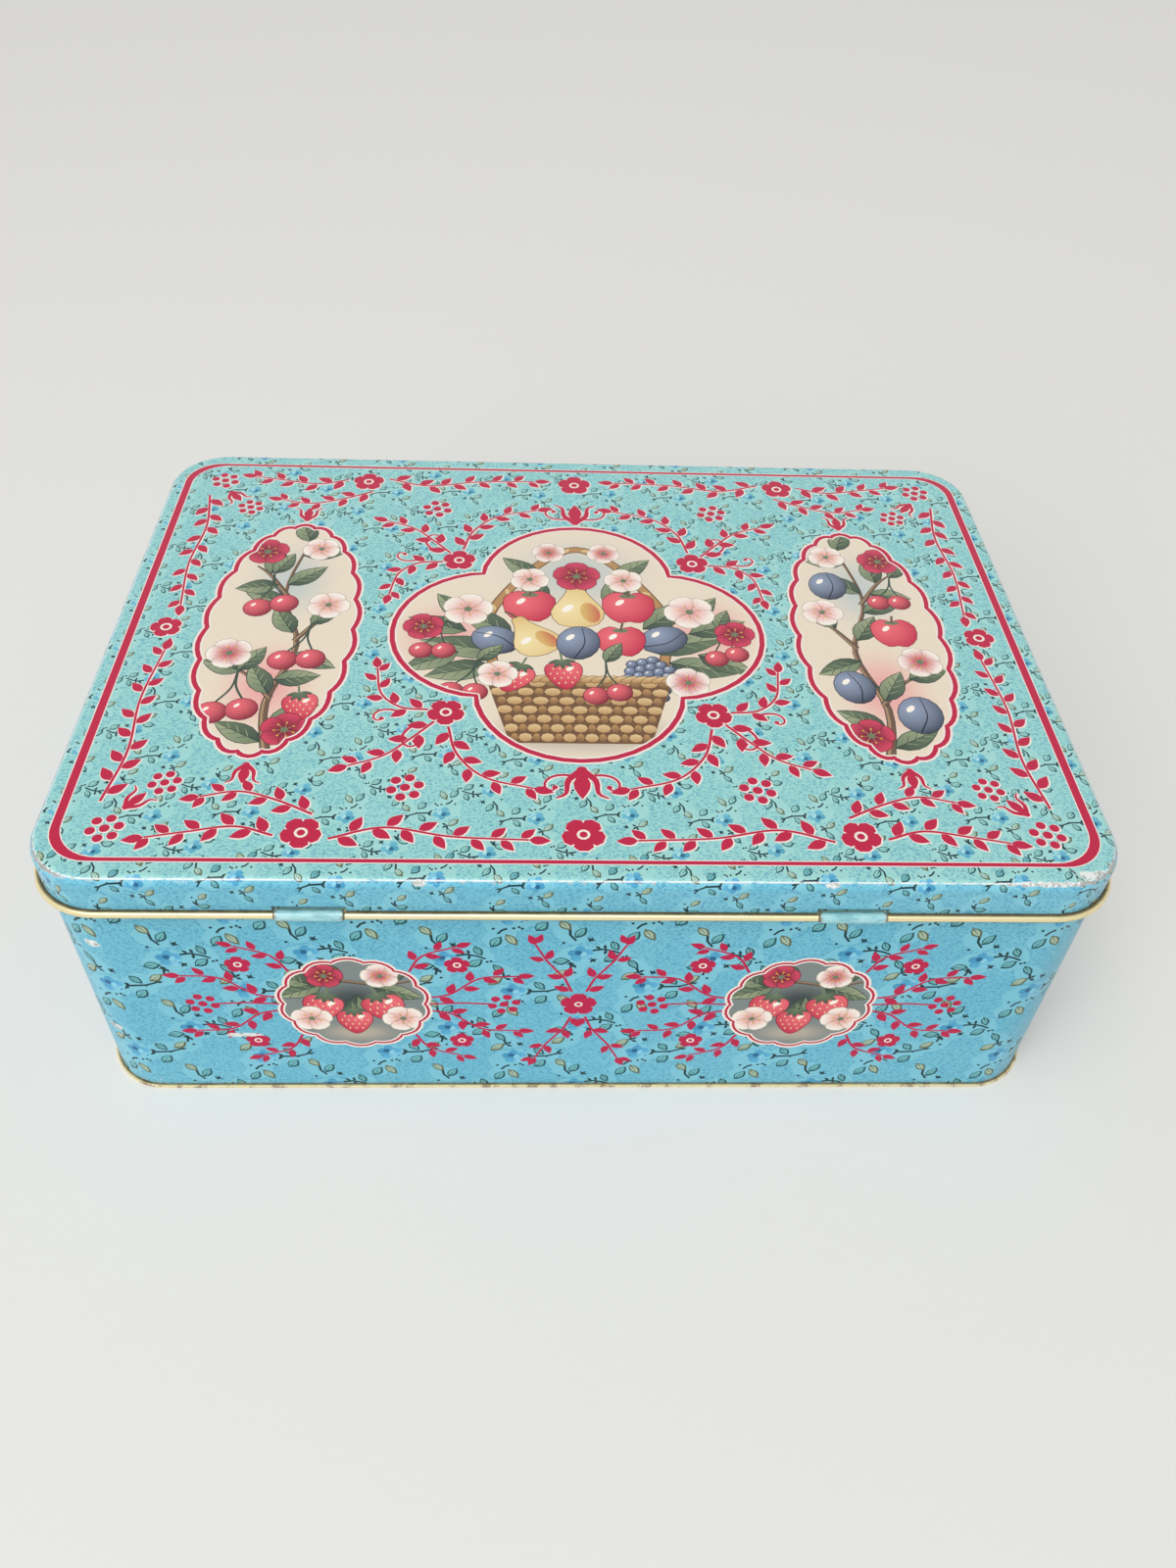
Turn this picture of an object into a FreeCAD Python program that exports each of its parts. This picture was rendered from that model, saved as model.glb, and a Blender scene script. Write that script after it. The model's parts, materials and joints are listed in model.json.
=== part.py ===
"""Hinged tin of printed sheet: drawn lid with a rolled bead, wrapped wall, seamed base and two strap hinges.

Millimetres. Origin under the middle of the tin on the surface it stands on, +Z up, +X along the length.
The hinge side is -Y. The lid is drawn closed.
"""
import FreeCAD, Part
import os
from math import radians

import Sketcher

SIZES = {
    "lid_length": (280.0, "over the skirt, along X"),
    "lid_width": (200.0, "over the skirt, along Y"),
    "lid_corner_radius": (18.0, "outer corner of the skirt, seen from above"),
    "overall_height": (95.0, "from the foot of the seam to the top of the lid"),
    "shoulder_radius": (2.5, "outer round between lid top and skirt"),
    "skirt_depth": (12.0, "from the lid top down to the middle of the rolled bead"),
    "sheet": (0.3, "thickness of the tinplate"),
    "bead_radius": (1.0, "outer radius of the lid's rolled bead"),
    "bead_free_angle": (70.0, "where the bead's raw edge stops, in degrees above its inner side"),
    "wall_clearance": (0.7, "between the skirt's inner face and the wall"),
    "rim_clearance": (0.5, "between the wall's rolled rim and the underside of the lid"),
    "rim_radius": (0.9, "outer radius of the wall's inward roll"),
    "rim_turn_down": (0.8, "how far the rim's raw edge is turned down inside"),
    "flange_width": (0.8, "how far the wall's foot is flanged outwards"),
    "base_recess": (2.2, "height of the bottom panel's underside over the surface"),
    "base_clearance": (0.1, "between the recessed bottom and the inside of the wall"),
    "seam_edge_break": (0.2, "taken off the two corners of the foot seam's outer fold"),
    "lock_seam_width": (4.0, "folded side seam of the wall"),
    "lock_seam_offset": (62.0, "from the middle of the end wall towards the hinge"),
    "lock_seam_layers": (3.0, "sheets folded behind the wall in the side seam"),
    "seam_groove_width": (0.5, "line that the side seam shows outside"),
    "seam_groove_depth": (0.12, "depth of that line"),
    "seam_end_gap": (1.5, "from the side seam's fold to the bottom panel and to the rim"),
    "hinge_spacing": (138.0, "between the middles of the two straps"),
    "strap_length": (17.0, "along the hinge"),
    "strap_sheet": (0.3, "thickness of the strap"),
    "strap_clearance": (0.15, "between the strap's eye and the bead"),
    "strap_leg_gap": (0.1, "between the strap's two legs"),
    "strap_flap": (5.0, "each clinched end, up and down from the hinge line"),
    "wall_slot_clearance": (0.1, "round the strap's legs in the wall"),
    "lid_slot_clearance": (0.6, "beside the strap in the lid's skirt"),
    "lid_slot_foot": (0.3, "lower edge of the lid's slot over the middle of the bead"),
    "lid_slot_top": (2.6, "upper edge of the lid's slot over the middle of the bead"),
    "wire_clearance": (0.1, "between the hinge wire and the inside of the bead"),
    "wire_end_gap": (1.0, "from each end of the wire to the start of the corner"),
}

# Sizes that follow from the sheet, as expressions that the features share
HINGE_HEIGHT = "(Sizes.overall_height - Sizes.skirt_depth)"
HINGE_SETBACK = "(Sizes.lid_width / 2 + Sizes.bead_radius - Sizes.sheet)"
WALL_INSET = "(Sizes.sheet + Sizes.wall_clearance)"
WALL_LENGTH = f"(Sizes.lid_length - 2 * {WALL_INSET})"
WALL_WIDTH = f"(Sizes.lid_width - 2 * {WALL_INSET})"
WALL_RADIUS = f"(Sizes.lid_corner_radius - {WALL_INSET})"
RIM_HEIGHT = "(Sizes.overall_height - Sizes.sheet - Sizes.rim_clearance - Sizes.rim_radius)"
EYE_RADIUS = "(Sizes.bead_radius + Sizes.strap_clearance)"
KNUCKLE_RADIUS = f"({EYE_RADIUS} + Sizes.strap_sheet)"
LEG_INSIDE = "(Sizes.strap_leg_gap / 2)"
LEG_OUTSIDE = f"({LEG_INSIDE} + Sizes.strap_sheet)"
WALL_INNER_REACH = "(Sizes.bead_radius + Sizes.wall_clearance + Sizes.sheet)"
FLAP_REACH = f"({WALL_INNER_REACH} + Sizes.strap_sheet)"
HINGE_STRAIGHT = "(Sizes.lid_length - 2 * Sizes.lid_corner_radius)"
WIRE_BORE_RADIUS = "(Sizes.bead_radius - Sizes.sheet)"
WIRE_RADIUS = f"({WIRE_BORE_RADIUS} - Sizes.wire_clearance)"

document = FreeCAD.newDocument("HingedTin")
sizes = document.addObject("Spreadsheet::Sheet", "Sizes")
for row, (alias, (value, note)) in enumerate(SIZES.items(), start=1):
    sizes.set(f"A{row}", alias.replace("_", " "))
    sizes.set(f"B{row}", str(value))
    sizes.setAlias(f"B{row}", alias)
    sizes.set(f"C{row}", note)
document.recompute()


def number(expression):
    """Value of an expression on the sheet."""
    return float(sizes.evalExpression(expression))


def new_body(label):
    """Empty body that takes its node's name."""
    body = document.addObject("PartDesign::Body", label)
    body.Label = label
    return body


def new_sketch(body, name, role, across="0", up="0", lift="0"):
    """Sketch on one of the body's own planes, its origin moved across, up and off that plane."""
    sketch = body.newObject("Sketcher::SketchObject", name)
    plane = next(feature for feature in body.Origin.OriginFeatures if feature.Role == role)
    sketch.AttachmentSupport = (plane, [""])
    sketch.MapMode = "FlatFace"
    for axis, expression in zip("xyz", (across, up, lift)):
        sketch.setExpression(f"AttachmentOffset.Base.{axis}", expression)
    return sketch


def bind(sketch, kind, *where, to):
    """Dimension of a sketch that follows an expression on the sheet."""
    index = sketch.addConstraint(Sketcher.Constraint(kind, *where, number(to)))
    sketch.setExpression(f"Constraints[{index}]", to)


def pin(sketch, geometry, end, across, up):
    """Hold one end of a line at a place given by two expressions."""
    for kind, axis, expression in (("DistanceX", -2, across), ("DistanceY", -1, up)):
        value = number(expression)
        if value == 0:
            sketch.addConstraint(Sketcher.Constraint("PointOnObject", geometry, end, axis))
        elif value > 0:
            bind(sketch, kind, -1, 1, geometry, end, to=expression)
        else:
            bind(sketch, kind, geometry, end, -1, 1, to=f"-({expression})")


def join(sketch, first, first_end, second, second_end):
    """Put two ends together."""
    sketch.addConstraint(Sketcher.Constraint("Coincident", first, first_end, second, second_end))


def line(sketch, start, end):
    """Straight line between two places given by expressions, not yet constrained."""
    places = [FreeCAD.Vector(number(across), number(up), 0) for across, up in (start, end)]
    return sketch.addGeometry(Part.LineSegment(*places))


def polyline(sketch, places):
    """Run of lines through places given by expressions. Returns the first and last line."""
    runs = [line(sketch, start, end) for start, end in zip(places, places[1:])]
    pin(sketch, runs[0], 1, *places[0])
    for run, place in zip(runs, places[1:]):
        pin(sketch, run, 2, *place)
    for run, following in zip(runs, runs[1:]):
        join(sketch, run, 2, following, 1)
    return runs[0], runs[-1]


def polygon(sketch, places):
    """Closed run of lines through places given by expressions."""
    first, last = polyline(sketch, places)
    closing = line(sketch, places[-1], places[0])
    join(sketch, last, 2, closing, 1)
    join(sketch, closing, 2, first, 1)


def rectangle(sketch, low, high):
    """Rectangle between two corners given by expressions."""
    (left, foot), (right, top) = low, high
    polygon(sketch, [(left, foot), (right, foot), (right, top), (left, top)])


def rounded_rectangle(sketch, length, width, radius):
    """Outline of the tin seen from above, centred, its hinge side in two halves that meet at the middle."""
    half_x, half_y, r = number(length) / 2, number(width) / 2, number(radius)
    x, y = half_x - r, half_y - r
    corner = {}
    for name, cx, cy, turn in (("br", x, -y, -90), ("fr", x, y, 0), ("fl", -x, y, 90), ("bl", -x, -y, 180)):
        circle = Part.Circle(FreeCAD.Vector(cx, cy, 0), FreeCAD.Vector(0, 0, 1), r)
        corner[name] = sketch.addGeometry(Part.ArcOfCircle(circle, radians(turn), radians(turn + 90)))

    def side(*ends):
        return sketch.addGeometry(Part.LineSegment(*(FreeCAD.Vector(px, py, 0) for px, py in ends)))

    back_right = side((0, -half_y), (x, -half_y))
    right = side((half_x, -y), (half_x, y))
    front = side((x, half_y), (-x, half_y))
    left = side((-half_x, y), (-half_x, -y))
    back_left = side((-x, -half_y), (0, -half_y))
    chain = [
        back_right, corner["br"], right, corner["fr"], front, corner["fl"], left, corner["bl"], back_left
    ]
    for piece, following in zip(chain, chain[1:]):
        sketch.addConstraint(Sketcher.Constraint("Tangent", piece, 2, following, 1))
    join(sketch, back_left, 2, back_right, 1)
    sketch.addConstraint(Sketcher.Constraint("PointOnObject", back_left, 2, -2))
    for flat in (back_right, front, back_left):
        sketch.addConstraint(Sketcher.Constraint("Horizontal", flat))
    for upright in (right, left):
        sketch.addConstraint(Sketcher.Constraint("Vertical", upright))
    for name in ("fr", "fl", "bl"):
        sketch.addConstraint(Sketcher.Constraint("Equal", corner["br"], corner[name]))
    sketch.addConstraint(Sketcher.Constraint("Symmetric", corner["br"], 3, corner["fl"], 3, -1, 1))
    bind(sketch, "DistanceX", left, 1, right, 1, to=length)
    bind(sketch, "DistanceY", back_right, 2, front, 1, to=width)
    bind(sketch, "Radius", corner["br"], to=radius)


def disc(sketch, radius):
    """Circle about the sketch's origin."""
    circle = Part.Circle(FreeCAD.Vector(), FreeCAD.Vector(0, 0, 1), number(radius))
    edge = sketch.addGeometry(circle)
    sketch.addConstraint(Sketcher.Constraint("Coincident", edge, 3, -1, 1))
    bind(sketch, "Radius", edge, to=radius)


def bead_section(sketch):
    """Section of the lid's bead about its middle: rolled tight from the skirt round to its raw edge."""
    radius = "Sizes.bead_radius"
    skirt_face = "(Sizes.bead_radius - Sizes.sheet)"
    circle = Part.Circle(FreeCAD.Vector(), FreeCAD.Vector(0, 0, 1), number(radius))
    turn = (radians(number("Sizes.bead_free_angle")), radians(360))
    roll = sketch.addGeometry(Part.ArcOfCircle(circle, *turn))
    sketch.addConstraint(Sketcher.Constraint("Coincident", roll, 3, -1, 1))
    sketch.addConstraint(Sketcher.Constraint("PointOnObject", roll, 2, -1))
    bind(sketch, "Radius", roll, to=radius)
    bind(sketch, "DistanceY", -1, 1, roll, 1, to=f"{radius} * sin(Sizes.bead_free_angle * 1 deg)")
    joined = line(sketch, (radius, "0"), (skirt_face, "0"))
    groove = sketch.addGeometry(
        Part.LineSegment(FreeCAD.Vector(number(skirt_face), 0, 0), sketch.getPoint(roll, 1))
    )
    pin(sketch, joined, 2, skirt_face, "0")
    join(sketch, roll, 2, joined, 1)
    join(sketch, joined, 2, groove, 1)
    join(sketch, groove, 2, roll, 1)


def rim_section(sketch):
    """Section of the wall's rim about its middle: rolled over inwards, down to its raw edge."""
    radius = "Sizes.rim_radius"
    circle = Part.Circle(FreeCAD.Vector(), FreeCAD.Vector(0, 0, 1), number(radius))
    roll = sketch.addGeometry(Part.ArcOfCircle(circle, 0, radians(180)))
    sketch.addConstraint(Sketcher.Constraint("Coincident", roll, 3, -1, 1))
    for end in (1, 2):
        sketch.addConstraint(Sketcher.Constraint("PointOnObject", roll, end, -1))
    bind(sketch, "Radius", roll, to=radius)
    wall_face = f"-({radius} - Sizes.sheet)"
    raw_edge = "-Sizes.rim_turn_down"
    under, edge = polyline(sketch, [
        (wall_face, "0"),
        (f"({radius} - Sizes.sheet)", raw_edge),
        (radius, raw_edge),
    ])
    inside = line(sketch, (radius, raw_edge), (radius, "0"))
    joined = line(sketch, (f"-{radius}", "0"), (wall_face, "0"))
    join(sketch, edge, 2, inside, 1)
    join(sketch, inside, 2, roll, 1)
    join(sketch, roll, 2, joined, 1)
    join(sketch, joined, 2, under, 1)


def pad(body, name, sketch, length, midplane=False):
    """Pad of a sketch, bound to the sheet."""
    feature = body.newObject("PartDesign::Pad", name)
    feature.Profile = sketch
    feature.SideType = "Symmetric" if midplane else "One side"
    feature.setExpression("Length", length)
    document.recompute()
    return feature


def pocket(body, name, sketch, depth=None, reverse=False, midplane=False):
    """Pocket of a sketch, to a depth or right through, which has to take something away."""
    before = body.Shape.Volume
    feature = body.newObject("PartDesign::Pocket", name)
    feature.Profile = sketch
    feature.Reversed = reverse
    feature.SideType = "Symmetric" if midplane else "One side"
    if depth:
        feature.setExpression("Length", depth)
    else:
        feature.Type = "ThroughAll"
    document.recompute()
    if not body.Shape.Volume < before:
        raise RuntimeError(f"{name} cuts nothing")
    return feature


def run_round(body, name, profile, path):
    """Section carried round the tin along a closed path, kept upright."""
    feature = body.newObject("PartDesign::AdditivePipe", name)
    feature.Profile = profile
    feature.Spine = path
    feature.Mode = "Binormal"
    feature.Binormal = FreeCAD.Vector(0, 0, 1)
    document.recompute()
    return feature


def hinge_side_slots(body, name, clearance, foot, top):
    """Two slots through the hinge side, one for each strap, between two heights over the hinge line."""
    sketch = new_sketch(body, f"{name}_outline", "XZ_Plane", up=HINGE_HEIGHT)
    half = f"(Sizes.strap_length / 2 + {clearance})"
    inner = f"(Sizes.hinge_spacing / 2 - {half})"
    outer = f"(Sizes.hinge_spacing / 2 + {half})"
    rectangle(sketch, (f"-{outer}", foot), (f"-{inner}", top))
    rectangle(sketch, (inner, foot), (outer, top))
    return pocket(body, name, sketch, reverse=True)


def make_lid():
    """Drawn lid: shell with a rounded shoulder, slotted skirt and an edge rolled outwards into a bead."""
    body = new_body("lid")
    outline = new_sketch(body, "lid_outline", "XY_Plane", lift=HINGE_HEIGHT)
    rounded_rectangle(outline, "Sizes.lid_length", "Sizes.lid_width", "Sizes.lid_corner_radius")
    block = pad(body, "lid_block", outline, "Sizes.skirt_depth")

    top = number("Sizes.overall_height")
    rounded = [
        f"Edge{index}"
        for index, edge in enumerate(block.Shape.Edges, start=1)
        if abs(edge.BoundBox.ZMin - top) < 1e-6
    ]
    shoulder = body.newObject("PartDesign::Fillet", "lid_shoulder")
    shoulder.Base = (block, rounded)
    shoulder.setExpression("Radius", "Sizes.shoulder_radius")
    document.recompute()

    foot = number(HINGE_HEIGHT)
    open_face = next(
        f"Face{index}"
        for index, face in enumerate(shoulder.Shape.Faces, start=1)
        if abs(face.BoundBox.ZMax - foot) < 1e-6
    )
    shell = body.newObject("PartDesign::Thickness", "lid_shell")
    shell.Base = (shoulder, [open_face])
    shell.Reversed = True
    shell.setExpression("Value", "Sizes.sheet")
    document.recompute()

    hinge_side_slots(
        body, "lid_slots", "Sizes.lid_slot_clearance", "Sizes.lid_slot_foot", "Sizes.lid_slot_top"
    )

    section = new_sketch(body, "bead_section", "YZ_Plane", across=f"-{HINGE_SETBACK}", up=HINGE_HEIGHT)
    bead_section(section)
    run_round(body, "bead", section, outline)

    bore = new_sketch(body, "wire_bore_section", "YZ_Plane", across=f"-{HINGE_SETBACK}", up=HINGE_HEIGHT)
    disc(bore, WIRE_BORE_RADIUS)
    pocket(body, "wire_bore", bore, depth=HINGE_STRAIGHT, midplane=True)
    return body


def make_hinge_wire():
    """Straight wire in the bead along the hinge side."""
    body = new_body("hinge_wire")
    section = new_sketch(body, "wire_section", "YZ_Plane", across=f"-{HINGE_SETBACK}", up=HINGE_HEIGHT)
    disc(section, WIRE_RADIUS)
    pad(body, "wire", section, f"({HINGE_STRAIGHT} - 2 * Sizes.wire_end_gap)", midplane=True)
    return body


def make_body_wall():
    """Wrapped wall: slotted for the straps, rim rolled inwards, foot flanged outwards, ends hooked."""
    body = new_body("body_wall")
    strip = new_sketch(body, "wall_outline", "XY_Plane", lift="Sizes.sheet")
    rounded_rectangle(strip, WALL_LENGTH, WALL_WIDTH, WALL_RADIUS)
    rounded_rectangle(
        strip,
        f"({WALL_LENGTH} - 2 * Sizes.sheet)",
        f"({WALL_WIDTH} - 2 * Sizes.sheet)",
        f"({WALL_RADIUS} - Sizes.sheet)",
    )
    pad(body, "wall", strip, f"({RIM_HEIGHT} - Sizes.sheet)")
    slot = f"({LEG_OUTSIDE} + Sizes.wall_slot_clearance)"
    hinge_side_slots(body, "strap_slots", "Sizes.wall_slot_clearance", f"-{slot}", slot)

    flange = new_sketch(body, "flange_outline", "XY_Plane", lift="Sizes.sheet")
    rounded_rectangle(
        flange,
        f"({WALL_LENGTH} + 2 * Sizes.flange_width)",
        f"({WALL_WIDTH} + 2 * Sizes.flange_width)",
        f"({WALL_RADIUS} + Sizes.flange_width)",
    )
    rounded_rectangle(
        flange,
        f"({WALL_LENGTH} - 2 * Sizes.sheet)",
        f"({WALL_WIDTH} - 2 * Sizes.sheet)",
        f"({WALL_RADIUS} - Sizes.sheet)",
    )
    pad(body, "foot_flange", flange, "Sizes.sheet")

    path = new_sketch(body, "rim_path", "XY_Plane", lift=RIM_HEIGHT)
    rounded_rectangle(path, WALL_LENGTH, WALL_WIDTH, WALL_RADIUS)
    rim_setback = f"({WALL_WIDTH} / 2 - Sizes.rim_radius)"
    section = new_sketch(body, "rim_section", "YZ_Plane", across=f"-{rim_setback}", up=RIM_HEIGHT)
    rim_section(section)
    run_round(body, "rim", section, path)

    seam_foot = "(Sizes.base_recess + Sizes.sheet + Sizes.seam_end_gap)"
    seam_top = f"({RIM_HEIGHT} - Sizes.rim_radius - Sizes.seam_end_gap)"
    wall_inside = f"({WALL_LENGTH} / 2 - Sizes.sheet)"
    fold = new_sketch(body, "seam_outline", "XY_Plane", across=wall_inside, up="-Sizes.lock_seam_offset",
                      lift=seam_foot)
    rectangle(
        fold,
        ("-Sizes.lock_seam_layers * Sizes.sheet", "-Sizes.lock_seam_width / 2"),
        ("0", "Sizes.lock_seam_width / 2"),
    )
    pad(body, "lock_seam", fold, f"({seam_top} - {seam_foot})")
    groove = new_sketch(body, "groove_outline", "XY_Plane", across=f"({WALL_LENGTH} / 2)",
                        up="-Sizes.lock_seam_offset", lift=seam_foot)
    rectangle(
        groove,
        ("-Sizes.seam_groove_depth", "-Sizes.seam_groove_width / 2"),
        ("Sizes.sheet", "Sizes.seam_groove_width / 2"),
    )
    pocket(body, "seam_groove", groove, depth=f"({seam_top} - {seam_foot})", reverse=True)
    return body


def make_base_panel():
    """Recessed bottom whose rim is folded under, round and over the wall's flange."""
    body = new_body("base_panel")
    inset = "(Sizes.sheet + Sizes.base_clearance)"
    panel = new_sketch(body, "panel_outline", "XY_Plane", lift="Sizes.base_recess")
    rounded_rectangle(
        panel, f"({WALL_LENGTH} - 2 * {inset})", f"({WALL_WIDTH} - 2 * {inset})", f"({WALL_RADIUS} - {inset})"
    )
    pad(body, "panel", panel, "Sizes.sheet")

    path = new_sketch(body, "seam_path", "XY_Plane")
    rounded_rectangle(path, WALL_LENGTH, WALL_WIDTH, WALL_RADIUS)
    section = new_sketch(body, "seam_section", "YZ_Plane", across=f"(-{WALL_WIDTH} / 2)")
    flange_edge = "-Sizes.flange_width"
    fold_edge = "-(Sizes.flange_width + Sizes.sheet)"
    fold_start = "-(Sizes.flange_width + Sizes.sheet - Sizes.seam_edge_break)"
    upstand = f"({inset} + Sizes.sheet)"
    polygon(section, [
        ("-Sizes.base_clearance", "3 * Sizes.sheet"),
        (fold_start, "3 * Sizes.sheet"),
        (fold_edge, "(3 * Sizes.sheet - Sizes.seam_edge_break)"),
        (fold_edge, "Sizes.seam_edge_break"),
        (fold_start, "0"),
        (upstand, "0"),
        (upstand, "Sizes.base_recess"),
        (inset, "Sizes.base_recess"),
        (inset, "Sizes.sheet"),
        (flange_edge, "Sizes.sheet"),
        (flange_edge, "2 * Sizes.sheet"),
        ("-Sizes.base_clearance", "2 * Sizes.sheet"),
    ])
    run_round(body, "seam", section, path)
    return body


def make_hinge_strap(label, middle):
    """Strap folded round the bead, both legs through the wall, one end clinched up and one down."""
    body = new_body(label)
    section = new_sketch(
        body, f"{label}_section", "YZ_Plane", across=f"-{HINGE_SETBACK}", up=HINGE_HEIGHT, lift=middle
    )
    knuckle_foot = f"sqrt({KNUCKLE_RADIUS}^2 - {LEG_OUTSIDE}^2)"
    eye_foot = f"sqrt({EYE_RADIUS}^2 - {LEG_INSIDE}^2)"
    ends = []
    for sign in ("", "-"):
        ends.append(polyline(section, [
            (knuckle_foot, f"{sign}{LEG_OUTSIDE}"),
            (WALL_INNER_REACH, f"{sign}{LEG_OUTSIDE}"),
            (WALL_INNER_REACH, f"{sign}Sizes.strap_flap"),
            (FLAP_REACH, f"{sign}Sizes.strap_flap"),
            (FLAP_REACH, f"{sign}{LEG_INSIDE}"),
            (eye_foot, f"{sign}{LEG_INSIDE}"),
        ]))
    (upper_first, upper_last), (lower_first, lower_last) = ends
    for radius, upper, lower in (
        (KNUCKLE_RADIUS, (upper_first, 1), (lower_first, 1)),
        (EYE_RADIUS, (upper_last, 2), (lower_last, 2)),
    ):
        start, end = (section.getPoint(*place) for place in (upper, lower))
        far_side = FreeCAD.Vector(-number(radius), 0, 0)
        bend = section.addGeometry(Part.Arc(start, far_side, end))
        join(section, bend, 1, *upper)
        join(section, bend, 2, *lower)
        bind(section, "Radius", bend, to=radius)
    pad(body, f"{label}_strip", section, "Sizes.strap_length", midplane=True)
    return body


nodes = [
    make_lid(),
    make_hinge_wire(),
    make_body_wall(),
    make_base_panel(),
    make_hinge_strap("hinge_strap_left", "-Sizes.hinge_spacing / 2"),
    make_hinge_strap("hinge_strap_right", "Sizes.hinge_spacing / 2"),
]
document.recompute()

for item in document.Objects:
    if {"Invalid", "Error"} & set(item.State):
        raise RuntimeError(f"{item.Label} failed: {item.State}")
os.makedirs("parts", exist_ok=True)
for node in nodes:
    if node.Shape.isNull() or not node.Shape.isValid() or len(node.Shape.Solids) != 1:
        raise RuntimeError(f"{node.Label} is not one sound solid")
for node in nodes:
    node.Shape.exportStep(f"parts/{node.Label}.step")
    print(node.Label, f"{node.Shape.Volume:.0f} mm3", node.Shape.BoundBox)
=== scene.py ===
"""Looks of a hinged printed tin: litho print, gold lacquer, enamelled hinge straps and a plain studio.

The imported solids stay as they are. The print lies on them as thin films, cut from flat artwork that is
drawn in millimetres, then laid over the lid's shoulder and round the wall's corners.
"""
import cmath
import json
import math
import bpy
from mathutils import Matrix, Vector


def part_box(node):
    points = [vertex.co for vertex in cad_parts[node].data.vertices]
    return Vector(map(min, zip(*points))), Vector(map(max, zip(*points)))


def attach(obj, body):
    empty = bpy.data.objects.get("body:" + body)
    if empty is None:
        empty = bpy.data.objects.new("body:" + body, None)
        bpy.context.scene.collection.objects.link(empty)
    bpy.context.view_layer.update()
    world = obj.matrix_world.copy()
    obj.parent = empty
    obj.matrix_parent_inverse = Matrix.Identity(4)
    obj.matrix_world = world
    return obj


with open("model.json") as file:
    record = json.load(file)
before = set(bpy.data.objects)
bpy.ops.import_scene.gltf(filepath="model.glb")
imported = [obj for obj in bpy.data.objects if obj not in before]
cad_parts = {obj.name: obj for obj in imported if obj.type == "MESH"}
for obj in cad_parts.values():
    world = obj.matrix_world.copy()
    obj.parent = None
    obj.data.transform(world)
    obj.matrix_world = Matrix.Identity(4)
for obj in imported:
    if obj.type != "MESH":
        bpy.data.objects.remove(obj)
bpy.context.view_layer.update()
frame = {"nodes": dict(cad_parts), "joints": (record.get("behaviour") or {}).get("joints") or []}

from types import SimpleNamespace
from typing import NamedTuple

import bpy
from mathutils import Matrix, Vector
from mathutils.geometry import delaunay_2d_cdt

bl_info = {
    "name": "Hinged printed tin",
    "version": (1, 0, 0),
    "blender": (4, 5, 0),
    "location": "View3D > Sidebar > Tin",
    "description": "Prints, lacquers and stages a hinged tin over its packed solids",
    "category": "Object",
}

LID_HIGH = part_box("lid")[1]
HINGE = next(joint for joint in frame["joints"] if joint["name"] == "lid_hinge")
MM = 0.001
WELD = 1e-5

# Width of the pale edge round the lid's crimson, and how far it is printed out of place, in millimetres
PALE_EDGE = 0.3
MISFIT = 0.16 - 0.18j

# How far the small flowers on the lid's top take the tint of its ground, which is paler partly as painted
# light, from 0 to 1
LID_TINT = 0.6

# Alpha 0 lets the ground through: stippled, or calm where red is 1
STIPPLED = (0.0, 0.0, 0.0, 0.0)
CALM = (1.0, 1.0, 1.0, 0.0)


def ink(code):
    """Linear colour of an ink written as six hexadecimal digits."""
    parts = [int(code[place:place + 2], 16) / 255 for place in (0, 2, 4)]
    return tuple(part / 12.92 if part <= 0.04045 else ((part + 0.055) / 1.055) ** 2.4 for part in parts)


def length(name, description, metres):
    """Property that holds a real size."""
    return bpy.props.FloatProperty(
        name=name, description=description, default=metres,
        unit="LENGTH", subtype="DISTANCE", precision=5,
    )


def amount(name, description, value, least=0.0):
    """Property that holds a power, a brightness or a focal length."""
    return bpy.props.FloatProperty(name=name, description=description, default=value, min=least)


def rotation(name, description, degrees):
    """Property that holds an angle."""
    return bpy.props.FloatProperty(
        name=name, description=description, default=math.radians(degrees), subtype="ANGLE"
    )


def colour(name, description, code):
    """Property that holds a colour."""
    return bpy.props.FloatVectorProperty(
        name=name, description=description, default=ink(code), size=3, min=0, max=1, subtype="COLOR"
    )


class TinSizes(bpy.types.PropertyGroup):
    """Sizes that the print follows."""

    bead_overhang: length("Bead overhang", "How far the bead stands out from the lid's skirt", 0.0017)
    bead_radius: length("Bead radius", "Outer radius of the lid's rolled bead", 0.001)
    corner_radius: length("Corner radius", "Corner of the lid's skirt seen from above", 0.018)
    shoulder_radius: length("Shoulder radius", "Round between the lid's top and its skirt", 0.0025)
    wall_setback: length("Wall setback", "From the skirt's face in to the wall's face", 0.001)
    # Down to this edge the lid's ground is paler, partly as painted light; along it runs a worn white
    # line, partly a painted highlight
    edge_drop: length("Edge drop", "From the lid's top down to the worn edge along its shoulder", 0.0004)
    film_lift: length("Film lift", "How far the print stands off the sheet", 0.00003)
    bead_margin: length("Bead margin", "From the hinge line up to the edge of the lid's print", 0.00115)
    neck_overlap: length("Neck overlap", "How far the wall's print runs up under the lid's skirt", 0.005)
    foot_margin: length("Foot margin", "From the surface up to the edge of the wall's print", 0.00095)
    strap_spacing: length("Strap spacing", "Between the middles of the two hinge straps", 0.138)
    strap_length: length("Strap length", "Length of a hinge strap along the hinge", 0.017)
    seam_offset: length("Side seam offset", "From the middle of the end wall to its lock seam", 0.062)


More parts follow.
